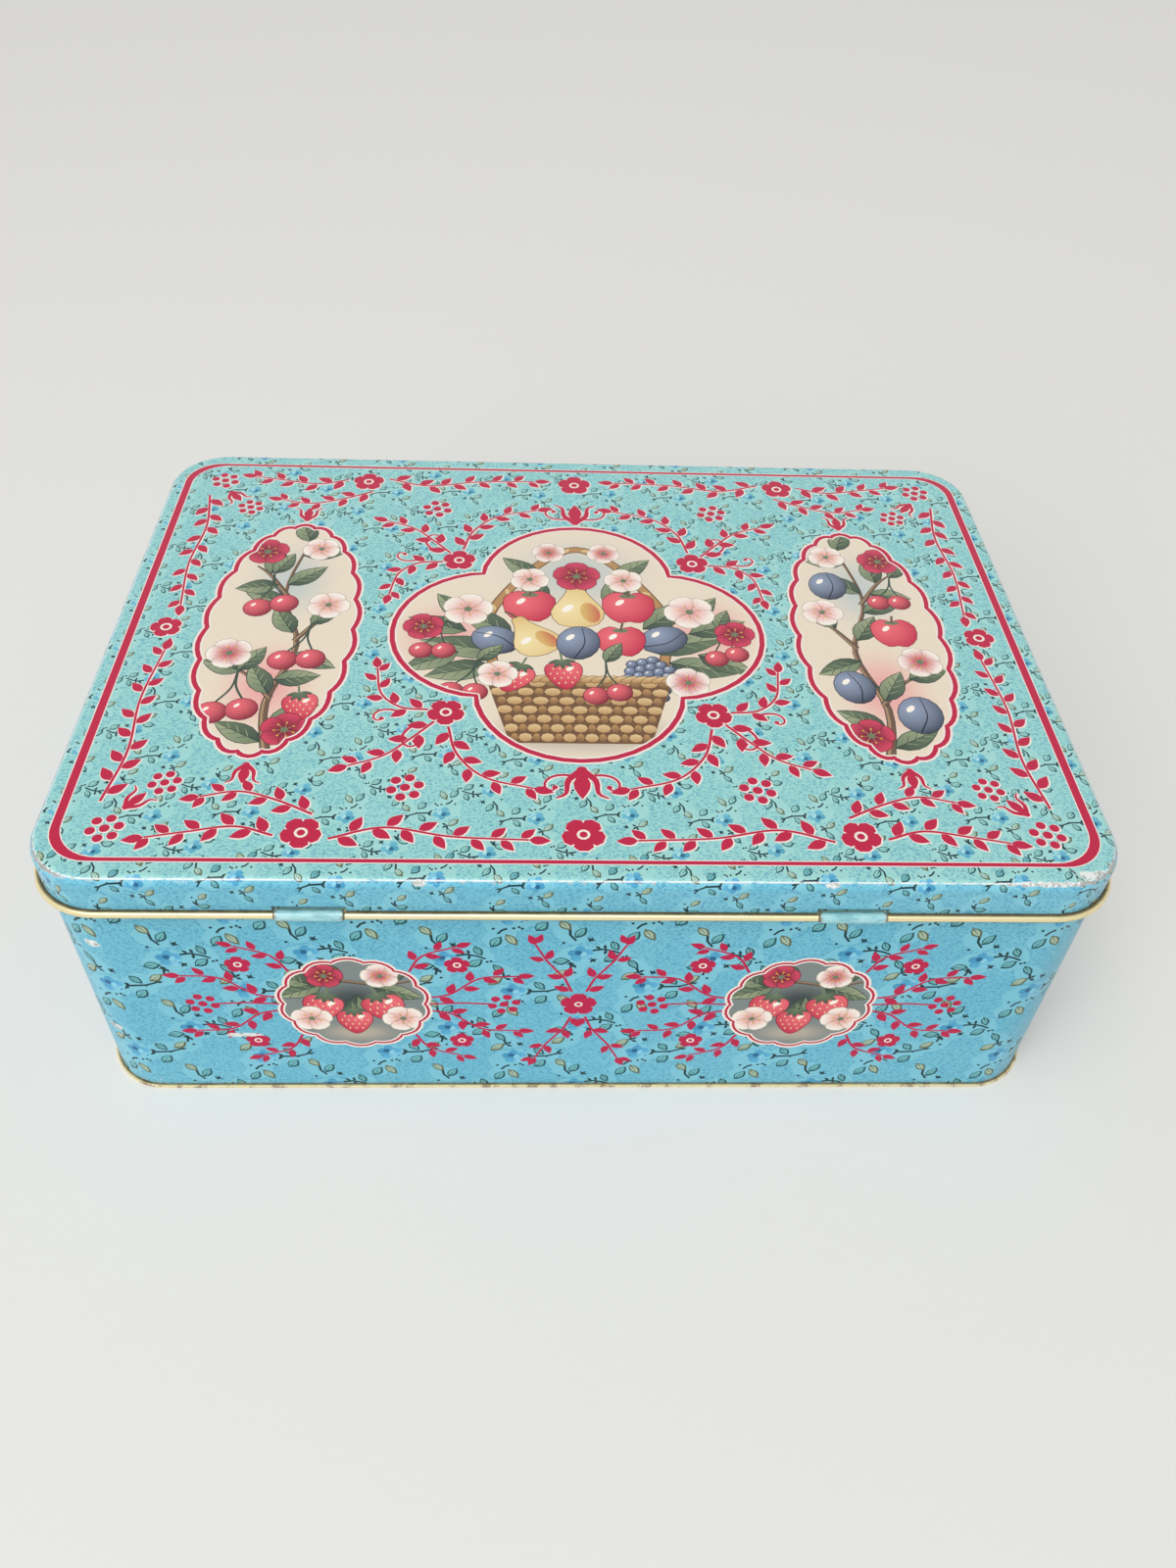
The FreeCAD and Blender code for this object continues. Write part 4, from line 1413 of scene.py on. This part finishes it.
def print_finish(name, inks, chips, gloss, edge_height=None):
    """Litho print on a white coat, varnished, with stippled ground, rubbed edges and chips.

    Where an edge height is given, the ground over it is the lid's, paler partly as painted light, and the
    white coat shows along it, partly as a painted highlight.
    """
    finish = Finish(name)
    ink_colour = finish.node("ShaderNodeAttribute", {"attribute_name": "ink"}, output="Color")
    ink_cover = finish.node("ShaderNodeAttribute", {"attribute_name": "ink"}, output="Alpha")
    calm = finish.node("ShaderNodeSeparateColor", None, {"Color": ink_colour}, output="Red")
    rub = finish.node("ShaderNodeAttribute", {"attribute_name": "rub"}, output="Fac")
    ragged = finish.noise(420.0, 3.0, 0.6)

    ground, halo, stipple = inks.wall_ground, inks.wall_halo, inks.wall_stipple
    if edge_height:
        # Above the edge the lid's grounds, paler partly as painted light on the top; below it the skirt
        # keeps the wall's darker grounds
        over = finish.axis("Z").step(edge_height - GROUND_BLUR, edge_height + GROUND_BLUR)
        ground = finish.mix(over, ground, inks.lid_ground_and_light)
        halo = finish.mix(over, halo, inks.lid_halo_and_light)
        stipple = finish.mix(over, stipple, inks.lid_stipple_and_light)
    right, left = (
        finish.noise(1.0, 1.0, place=finish.combed(DASH, lean)) for lean in (DASH_LEAN, -DASH_LEAN)
    )
    specks = right.most(left).step(0.54, 0.66)
    drift = finish.noise(26.0, 2.0).step(0.35, 0.65)
    tone = finish.mix(0.16 * drift, ground, halo)
    tone = finish.mix(calm * 0.24, tone, halo)
    tone = finish.mix(specks * (1 - calm * 0.8) * 0.66, tone, stipple)
    tone = finish.mix(ink_cover, tone, ink_colour)
    grain = finish.noise(2600.0, 1.0).step(0.3, 0.75)
    tone = finish.mix(0.10 * grain, tone, GRAIN_SHADE, "MULTIPLY")
    if edge_height:
        # White line along the shoulder edge: worn coat and partly a painted highlight
        edge = 1 - abs(finish.axis("Z") - edge_height) / WORN_AND_HIGHLIT_LINE
        tone = finish.mix(edge.step(0.0, 0.6) * ragged.step(0.3, 0.5) * 0.8, tone, WHITE_COAT_AND_HIGHLIGHT)

    flecks = finish.noise(900.0, 4.0, 0.65)
    worn = (rub * 0.46 + flecks * 0.75).step(0.70, 0.76)
    for spot, radii in chips:
        worn = worn.most((finish.near(spot, radii) + (ragged - 0.5) * 1.5).step(0.18, 0.30))
    bare = (worn * (flecks * 1.2 + rub * 0.25)).step(0.62, 0.78)
    tone = finish.mix(worn * 0.92, tone, WHITE_COAT_AND_HIGHLIGHT)
    tone = finish.mix(bare * 0.8, tone, inks.steel)

    ripple = finish.noise(38.0, 2.0)
    finish.wear(
        base_color=tone,
        roughness=0.30 + 0.10 * grain + 0.2 * worn,
        metallic=0.7 * bare,
        coat_weight=gloss * (0.25 - 0.2 * worn),
        specular_ior_level=0.32 * gloss,
        coat_roughness=0.16,
        normal=finish.bump(ripple * 0.9 + worn * -0.06 + grain * 0.02, 0.00022, 0.5),
    )
    return finish.material


def bead_painted_shade(finish, sizes):
    """Painted shade in the crease over the bead, on its underside and in the gaps beside the straps."""
    middle = sizes.corner_radius + sizes.bead_overhang - sizes.bead_radius
    out = (finish.beyond(sizes) - middle) / sizes.bead_radius
    rise = (finish.axis("Z") - HINGE["pos_m"][2]) / sizes.bead_radius
    crease = (1 - out.step(0.0, 0.5)) * rise.step(0.0, 0.4)
    under = 1 - rise.step(-0.4, -0.05)
    past = finish.past_strap(sizes)
    beside = past.step(-0.0002, 0.0) * (1 - past.step(0.0004, 0.0006))
    gap = beside * (1 - finish.axis("Y").step(-0.095, -0.09))
    return crease.most(under).most(gap) * out.step(-0.92, -0.8)


def foot_shade_and_dirt(finish, sizes):
    """Dark line where the wall stands in the foot seam: painted shade of that gap, with dirt."""
    out = finish.beyond(sizes) - (sizes.corner_radius - sizes.wall_setback)
    low = 1 - finish.axis("Z").step(0.0012, 0.0016)
    return low * out.step(-0.0004, -0.0001) * (1 - out.step(0.0004, 0.0008))


def lacquer_finish(name, inks, sizes, shade_and_dirt_on, foot_rust):
    """Gold lacquer over rolled tinplate, darkened in its folds by painted shade and dirt, and rusty at
    the foot.
    """
    finish = Finish(name)
    rolled = finish.noise(1.0, 3.0, 0.6, finish.stretched(40.0, 1400.0, 1400.0))
    drift = finish.noise(34.0, 3.0, 0.6)
    tone = finish.mix(drift.step(0.3, 0.7) * 0.5, inks.gold, PALE_LACQUER)
    tone = finish.mix(rolled.step(0.45, 0.75) * 0.2, tone, ROLL_MARKS)
    scratches = finish.noise(1.0, 2.0, 0.5, finish.stretched(2200.0, 60.0, 700.0)).step(0.66, 0.72)
    low = 1 - finish.axis("Z").step(0.0004, 0.0019)
    stain = low * finish.noise(210.0, 4.0, 0.65).step(0.5, 0.62) * foot_rust
    # Painted shade in the folds, with dirt at the foot seam, from the function given
    shade_and_dirt = shade_and_dirt_on(finish, sizes) * (0.55 + 0.5 * finish.noise(300.0, 3.0, 0.6))
    tone = finish.mix(scratches * 0.35, tone, inks.steel)
    tone = finish.mix(stain * 0.85, tone, RUST)
    tone = finish.mix(shade_and_dirt, tone, SHADE_AND_DIRT)
    finish.wear(
        base_color=tone,
        metallic=0.62 - 0.5 * stain.most(shade_and_dirt),
        roughness=0.24 + 0.14 * rolled + 0.10 * scratches + 0.4 * stain.most(shade_and_dirt),
        coat_weight=0.35 - 0.35 * stain.most(shade_and_dirt),
        coat_roughness=0.2,
        normal=finish.bump(rolled * 0.5 + drift, 0.00006, 0.5),
    )
    return finish.material


def enamel_finish(name, inks, sizes):
    """Pale enamel of the straps, scuffed through along its edges."""
    finish = Finish(name)
    scuff = finish.noise(1.0, 4.0, 0.6, finish.stretched(260.0, 900.0, 1500.0))
    cloudy = finish.noise(160.0, 3.0, 0.6)
    tone = finish.mix(cloudy.step(0.35, 0.68) * 0.6, inks.strap, PALE_ENAMEL)
    tone = finish.mix(scuff.step(0.50, 0.60) * 0.6, tone, SCUFFED_ENAMEL)
    ends = finish.past_strap(sizes).step(-0.0013, 0.0001)
    bare = (ends * 0.5 + scuff * 0.7).step(0.60, 0.70)
    tone = finish.mix(bare * 0.7, tone, inks.steel)
    finish.wear(
        base_color=tone,
        roughness=0.34 + 0.2 * cloudy,
        metallic=0.55 * bare,
        coat_weight=0.4 - 0.3 * bare,
        coat_roughness=0.2,
        normal=finish.bump(scuff * 0.6 + cloudy * 0.6, 0.00005, 0.6),
    )
    return finish.material


def wire_finish(name, inks):
    """Drawn steel wire with lengthwise lines."""
    finish = Finish(name)
    drawn = finish.noise(1.0, 3.0, 0.6, finish.stretched(50.0, 5200.0, 5200.0))
    spots = finish.noise(600.0, 3.0, 0.6).step(0.58, 0.7)
    tone = finish.mix(drawn.step(0.4, 0.65) * 0.5, inks.steel, DRAWN_LINES)
    tone = finish.mix(spots * 0.5, tone, WIRE_RUST)
    finish.wear(
        base_color=tone,
        metallic=1.0 - 0.4 * spots,
        roughness=0.28 + 0.2 * drawn + 0.2 * spots,
        normal=finish.bump(drawn, 0.00002, 0.6),
    )
    return finish.material


def dress(node, material):
    """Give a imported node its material."""
    slots = frame["nodes"][node].data.materials
    slots.clear()
    slots.append(material)


# Artwork of each sheet, its places in millimetres

# Corner middles of the crimson line's two edges, and their radius
LINE_OUTER = 123.5 + 82.0j
LINE_INNER = 121.2 + 80.8j
LINE_RADIUS = 11.5

# Rosettes of the lid: in each quarter, at the middles of the long sides, at the middles of the ends
QUARTER_ROSETTES = (38 + 37j, 72 + 83.5j)
SIDE_ROSETTE = 83.5j
END_ROSETTE = 124 + 0j

# Leaf sprays in a quarter of the lid: places along the stem, steps between them, leaf length
LID_SPRAYS = (
    ((41 + 41j, 47 + 48j, 54 + 55j, 63 + 59j), 6, 6.0),
    ((37 + 43j, 34 + 54j, 26 + 63j, 13 + 67j), 6, 6.0),
    ((43 + 36j, 51 + 35j, 57 + 29j, 59 + 18j), 6, 5.6),
    ((65 + 85.5j, 51 + 81.5j, 34 + 84.5j, 14 + 85.5j), 8, 6.0),
    ((79 + 84.5j, 89 + 81.5j, 101 + 83.5j, 111 + 85.5j), 6, 6.0),
    ((125 + 73j, 122.5 + 54j, 124 + 33j, 122 + 11j), 8, 6.0),
    ((70 + 77j, 80 + 72j, 90 + 69j, 100 + 71j), 6, 5.6),
)

# From the middle out to the lid's end ovals and to the wall's pictures, and the level of those pictures
OVAL_PLACE = 90
PICTURE_PLACE = 62
PICTURE_LEVEL = 42j

# Small rosettes to one side of a wall picture
WALL_ROSETTES = (29 + 18j, 29 - 18j)


def lid_frame(art, inks):
    """Crimson line round the lid's top, broader along its ends."""
    for grow, tone in ((PALE_EDGE, inks.edging), (0.0, inks.crimson)):
        outer = rounded(LINE_OUTER, LINE_RADIUS + grow, 9)
        inner = rounded(LINE_INNER, LINE_RADIUS - grow, 9)
        art.paint(band(outer, inner), plain(tone))


def lid_sprays(art, inks):
    """Leaf sprays, bell flowers, berries and rosettes between the pictures and along the frame."""
    sprays = []
    for places, steps, leaf_length in LID_SPRAYS:
        sprays += laurel(smooth(places, steps), leaf_length)
    sprays += tulip(90 + 59j, turn(90), 1.05)
    sprays += tulip(118 + 75j, turn(232), 1.0)
    sprays += tendril(47 + 43j, turn(40), 1.1)
    sprays += tendril(51 + 37j, turn(-30), 1.0)
    for middle, size in ((121.5 + 82.5j, 1.2), (47 + 67j, 1.25), (110 + 66j, 1.1)):
        sprays += bunch(middle, size)
    for at in QUARTER_ROSETTES:
        sprays += rosette(at, 5.4, 18)
    sprays = flipped(mirrored(sprays))
    crest = tulip(60j, turn(90), 1.6)
    crest += mirrored(tendril(3 + 62j, turn(-15), 1.1))
    crest += rosette(SIDE_ROSETTE, 5.8, 18)
    crest = flipped(crest) + mirrored(rosette(END_ROSETTE, 4.8, 0))
    art.paint_edged(sprays + crest, plain(inks.crimson), plain(inks.edging), PALE_EDGE)
    hearts = [*QUARTER_ROSETTES, *(-place.conjugate() for place in QUARTER_ROSETTES)]
    hearts += [place.conjugate() for place in hearts]
    for at in (*hearts, SIDE_ROSETTE, -SIDE_ROSETTE, END_ROSETTE, -END_ROSETTE):
        art.paint(disc(at, 1.8, 10), plain(inks.edging))
        art.paint(disc(at, 1.1, 8), plain(inks.crimson))


def lid_artwork(skin, inks):
    """Sprigged ground, crimson frame and sprays, and three pictures."""
    art = Artwork()
    edge = skin.flat_radius + skin.reach
    reach = skin.corner + complex(edge, edge)

    def covered(at):
        in_middle = min(abs(at - lobe) for lobe in (26, -26, 26j, -26j)) < 19 or abs(at) < 24
        in_oval = ((abs(at.real) - OVAL_PLACE) / 11) ** 2 + (at.imag / 43) ** 2 < 1
        return in_middle or in_oval

    top_inks = lid_sprig_inks(inks)

    def inks_at(at):
        return inks if skin.beyond(at)[0] > 0 else top_inks

    scatter_sprigs(art, -reach, reach, 0.68 * turn(180), inks_at, covered)
    lid_frame(art, inks)
    lid_sprays(art, inks)
    basket_picture(art, inks)
    for side in (1, -1):
        branch_picture(art, complex(side * OVAL_PLACE), inks, side)
    return art


def wall_sprays():
    """Sprays to both sides of a round picture."""
    sprays = laurel(smooth([21 + 3j, 27 + 5j, 35 + 12j, 45 + 13j], 6), 5.2)
    sprays += laurel(smooth([21 - 3j, 27 - 5j, 35 - 12j, 45 - 13j], 6), 5.2)
    sprays += [stroke([20, 30 + 0.6j, 38], 0.7)]
    sprays += bunch(41.4 + 0j, 1.15)
    sprays += laurel(smooth([16 + 15j, 20 + 22j, 29 + 26j], 5), 4.8)
    sprays += laurel(smooth([16 - 15j, 20 - 22j, 29 - 26j], 5), 4.8)
    for at in WALL_ROSETTES:
        sprays += rosette(at, 3.6, 18)
    return mirrored(sprays)


def wall_artwork(skin, inks):
    """Sprigged ground with round pictures and crimson sprays on each side."""
    art = Artwork()
    long_sides = [0.0, -skin.around / 2]
    ends = [-skin.end_middle, skin.end_middle - skin.around]
    shifts = (-PICTURE_PLACE, PICTURE_PLACE)
    pictures = [side + shift + PICTURE_LEVEL for side in long_sides for shift in shifts]
    pictures += [end + PICTURE_LEVEL for end in ends]

    def covered(at):
        return min(abs(at - picture) for picture in pictures) < 9

    low, high = complex(skin.start, skin.foot), complex(skin.stop, skin.head)
    scatter_sprigs(art, low, high, 1.0 + 0.0j, lambda at: inks, covered)
    ornaments, hearts = [], []
    for picture in pictures:
        hearts += [picture + place for place in WALL_ROSETTES]
        hearts += [picture - place.conjugate() for place in WALL_ROSETTES]
        ornaments += moved(wall_sprays(), picture)
    for side in long_sides:
        middle = side + PICTURE_LEVEL
        hearts.append(middle)
        ornaments += rosette(middle, 5.2, 18)
        for end in (1, -1):
            spray = laurel([complex(x, y * end) for x, y in ((2, 6), (4, 12), (9, 20), (12, 27))], 5.0)
            ornaments += moved(mirrored(spray), middle)
    for outline in ornaments:
        art.paint(outline, plain(inks.crimson_deep))
    for at in hearts:
        art.paint(disc(at, 1.2, 8), plain(inks.edging))
        art.paint(disc(at, 0.7, 6), plain(inks.crimson_deep))
    for picture in pictures:
        berry_picture(art, picture, inks)
    return art


# Operators

# Height of the lid's strap slots, half height of the wall's, and the room beside a strap, in millimetres
LID_SLOT_HEIGHT = 1.6
LID_SLOT_ROOM = 0.75
WALL_SLOT_HALF = 0.8
WALL_SLOT_ROOM = 0.4


def strap_slots(sizes, low, high, room):
    """Openings in a print between two heights, one for each hinge strap."""
    half = sizes.strap_length / MM / 2 + room
    middles = (-sizes.strap_spacing / MM / 2, sizes.strap_spacing / MM / 2)
    return [rectangle(complex(middle - half, low), complex(middle + half, high)) for middle in middles]


class TIN_OT_print_lid(bpy.types.Operator):
    """Lay the printed film over the lid's top, shoulder and skirt"""

    bl_idname = "tin.print_lid"
    bl_label = "Print lid"

    def execute(self, context):
        sizes, inks = context.scene.tin_sizes, context.scene.tin_inks
        skin = LidSkin(sizes)
        finish = print_finish("lid_print", inks, LID_CHIPS, 1.0, LID_HIGH.z - sizes.edge_drop)
        low = min(place.imag for place in skin.edge)
        holes = strap_slots(sizes, low, low + LID_SLOT_HEIGHT, LID_SLOT_ROOM)
        for film in lay_film(lid_artwork(skin, inks), skin, holes, sizes.film_lift):
            film.data.materials.append(finish)
            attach(film, "lid")
        return {"FINISHED"}


class TIN_OT_print_wall(bpy.types.Operator):
    """Lay the printed film round the wall"""

    bl_idname = "tin.print_wall"
    bl_label = "Print wall"

    def execute(self, context):
        sizes, inks = context.scene.tin_sizes, context.scene.tin_inks
        skin = WallSkin(sizes)
        finish = print_finish("wall_print", inks, WALL_CHIPS, 0.5)
        height = HINGE["pos_m"][2] / MM
        holes = strap_slots(sizes, height - WALL_SLOT_HALF, height + WALL_SLOT_HALF, WALL_SLOT_ROOM)
        for film in lay_film(wall_artwork(skin, inks), skin, holes, sizes.film_lift):
            film.data.materials.append(finish)
            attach(film, "tin")
        return {"FINISHED"}


class TIN_OT_lacquer_sheet(bpy.types.Operator):
    """Give lid, wall and base the gold lacquer that shows on bead, neck, foot and inside"""

    bl_idname = "tin.lacquer_sheet"
    bl_label = "Lacquer sheet"

    def execute(self, context):
        sizes, inks = context.scene.tin_sizes, context.scene.tin_inks
        # The lid's lacquer carries painted shade over, under and beside its bead
        dress("lid", lacquer_finish("lid_lacquer", inks, sizes, bead_painted_shade, 0.0))
        # The foot's lacquer is darkened where the wall stands in the seam, with painted shade and dirt
        foot = lacquer_finish("foot_lacquer", inks, sizes, foot_shade_and_dirt, 1.0)
        dress("body_wall", foot)
        dress("base_panel", foot)
        return {"FINISHED"}


class TIN_OT_finish_hinge(bpy.types.Operator):
    """Enamel the two straps and brighten the wire they turn on"""

    bl_idname = "tin.finish_hinge"
    bl_label = "Finish hinge"

    def execute(self, context):
        sizes, inks = context.scene.tin_sizes, context.scene.tin_inks
        enamel = enamel_finish("strap_enamel", inks, sizes)
        dress("hinge_strap_left", enamel)
        dress("hinge_strap_right", enamel)
        dress("hinge_wire", wire_finish("drawn_wire", inks))
        return {"FINISHED"}


# Floor and lamps in metres, and the camera's sensor in millimetres
FLOOR_SIZE = 8.0
KEY_PLACE = (-0.25, -0.45, 1.3)
KEY_ANGLE = math.radians(45)
FILL_PLACE = (-0.8, -1.3, 0.9)
FILL_SIZE = 1.2
FILL_SPREAD = math.radians(90)
SENSOR = 36.0


class TIN_OT_stage(bpy.types.Operator):
    """Set out the floor, lamps and camera"""

    bl_idname = "tin.stage"
    bl_label = "Set stage"

    def execute(self, context):
        scene, studio = context.scene, context.scene.tin_studio
        scene.view_settings.view_transform = "Standard"
        bpy.ops.object.select_all(action="DESELECT")
        bpy.ops.mesh.primitive_plane_add(size=FLOOR_SIZE)
        floor = context.object
        floor.name = "floor"
        finish = Finish("floor")
        finish.wear(base_color=(*studio.floor, 1.0), roughness=0.9, specular_ior_level=0.0)
        floor.data.materials.append(finish.material)
        key = add_lamp("key", "SUN", studio.key_power, KEY_PLACE)
        key.data.angle = KEY_ANGLE
        fill = add_lamp("fill", "AREA", studio.fill_power, FILL_PLACE)
        fill.data.size = FILL_SIZE
        fill.data.spread = FILL_SPREAD
        fill.visible_glossy = False
        even_sky(scene, studio)
        set_camera(scene, studio)
        return {"FINISHED"}


def add_lamp(name, kind, power, place):
    """Lamp that faces the tin."""
    bpy.ops.object.light_add(type=kind, location=place)
    lamp = bpy.context.object
    lamp.name = name
    lamp.data.energy = power
    lamp.rotation_euler = Vector(place).to_track_quat("Z", "Y").to_euler()
    return lamp


def even_sky(scene, studio):
    """Even light from all round. Camera and mirror-like surfaces see a pale backdrop in it."""
    scene.world = bpy.data.worlds.new("studio")
    sky = Nodes(scene.world)
    backgrounds = [
        sky.node("ShaderNodeBackground", None, {"Color": (1.0, 1.0, 1.0, 1.0), "Strength": strength})
        for strength in (studio.sky, studio.backdrop)
    ]
    rays = ("Is Camera Ray", "Is Glossy Ray", "Is Transmission Ray")
    camera, glossy, through = (sky.node("ShaderNodeLightPath", output=ray) for ray in rays)
    seen = camera.most(glossy).most(through)
    light = sky.node("ShaderNodeMixShader", None, {0: seen, 1: backgrounds[0], 2: backgrounds[1]})
    sky.feed(sky.first("ShaderNodeOutputWorld"), {"Surface": light})


def set_camera(scene, studio):
    """Camera at the photo's place, turned and rolled as it was held."""
    ahead = Vector((
        math.sin(studio.yaw) * math.cos(studio.pitch),
        math.cos(studio.yaw) * math.cos(studio.pitch),
        -math.sin(studio.pitch),
    ))
    level = Vector((math.cos(studio.yaw), -math.sin(studio.yaw), 0.0))
    upright = level.cross(ahead)
    right = level * math.cos(studio.roll) + upright * math.sin(studio.roll)
    up = upright * math.cos(studio.roll) - level * math.sin(studio.roll)
    bpy.ops.object.camera_add()
    camera = bpy.context.object
    camera.name = "camera"
    camera.data.lens = studio.lens
    camera.data.sensor_width = SENSOR
    placing = Matrix((right, up, -ahead)).transposed().to_4x4()
    placing.translation = (studio.camera_x, studio.camera_y, studio.camera_z)
    camera.matrix_world = placing
    scene.camera = camera


class VIEW3D_PT_tin(bpy.types.Panel):
    """Steps that dress the tin, in order"""

    bl_label = "Hinged printed tin"
    bl_space_type = "VIEW_3D"
    bl_region_type = "UI"
    bl_category = "Tin"

    def draw(self, context):
        for step in STEPS:
            self.layout.operator(step.bl_idname)
        for group, name in GROUPS.items():
            settings = getattr(context.scene, name)
            for setting in group.__annotations__:
                self.layout.prop(settings, setting)


STEPS = (TIN_OT_lacquer_sheet, TIN_OT_finish_hinge, TIN_OT_print_lid, TIN_OT_print_wall, TIN_OT_stage)
GROUPS = {TinSizes: "tin_sizes", TinInks: "tin_inks", TinStudio: "tin_studio"}


def register():
    for group, name in GROUPS.items():
        bpy.utils.register_class(group)
        setattr(bpy.types.Scene, name, bpy.props.PointerProperty(type=group))
    for item in (*STEPS, VIEW3D_PT_tin):
        bpy.utils.register_class(item)


def unregister():
    for item in (VIEW3D_PT_tin, *reversed(STEPS)):
        bpy.utils.unregister_class(item)
    for group, name in reversed(GROUPS.items()):
        delattr(bpy.types.Scene, name)
        bpy.utils.unregister_class(group)


def main():
    register()
    bpy.ops.tin.lacquer_sheet()
    bpy.ops.tin.finish_hinge()
    bpy.ops.tin.print_lid()
    bpy.ops.tin.print_wall()
    bpy.ops.tin.stage()


if __name__ == "__main__":
    main()
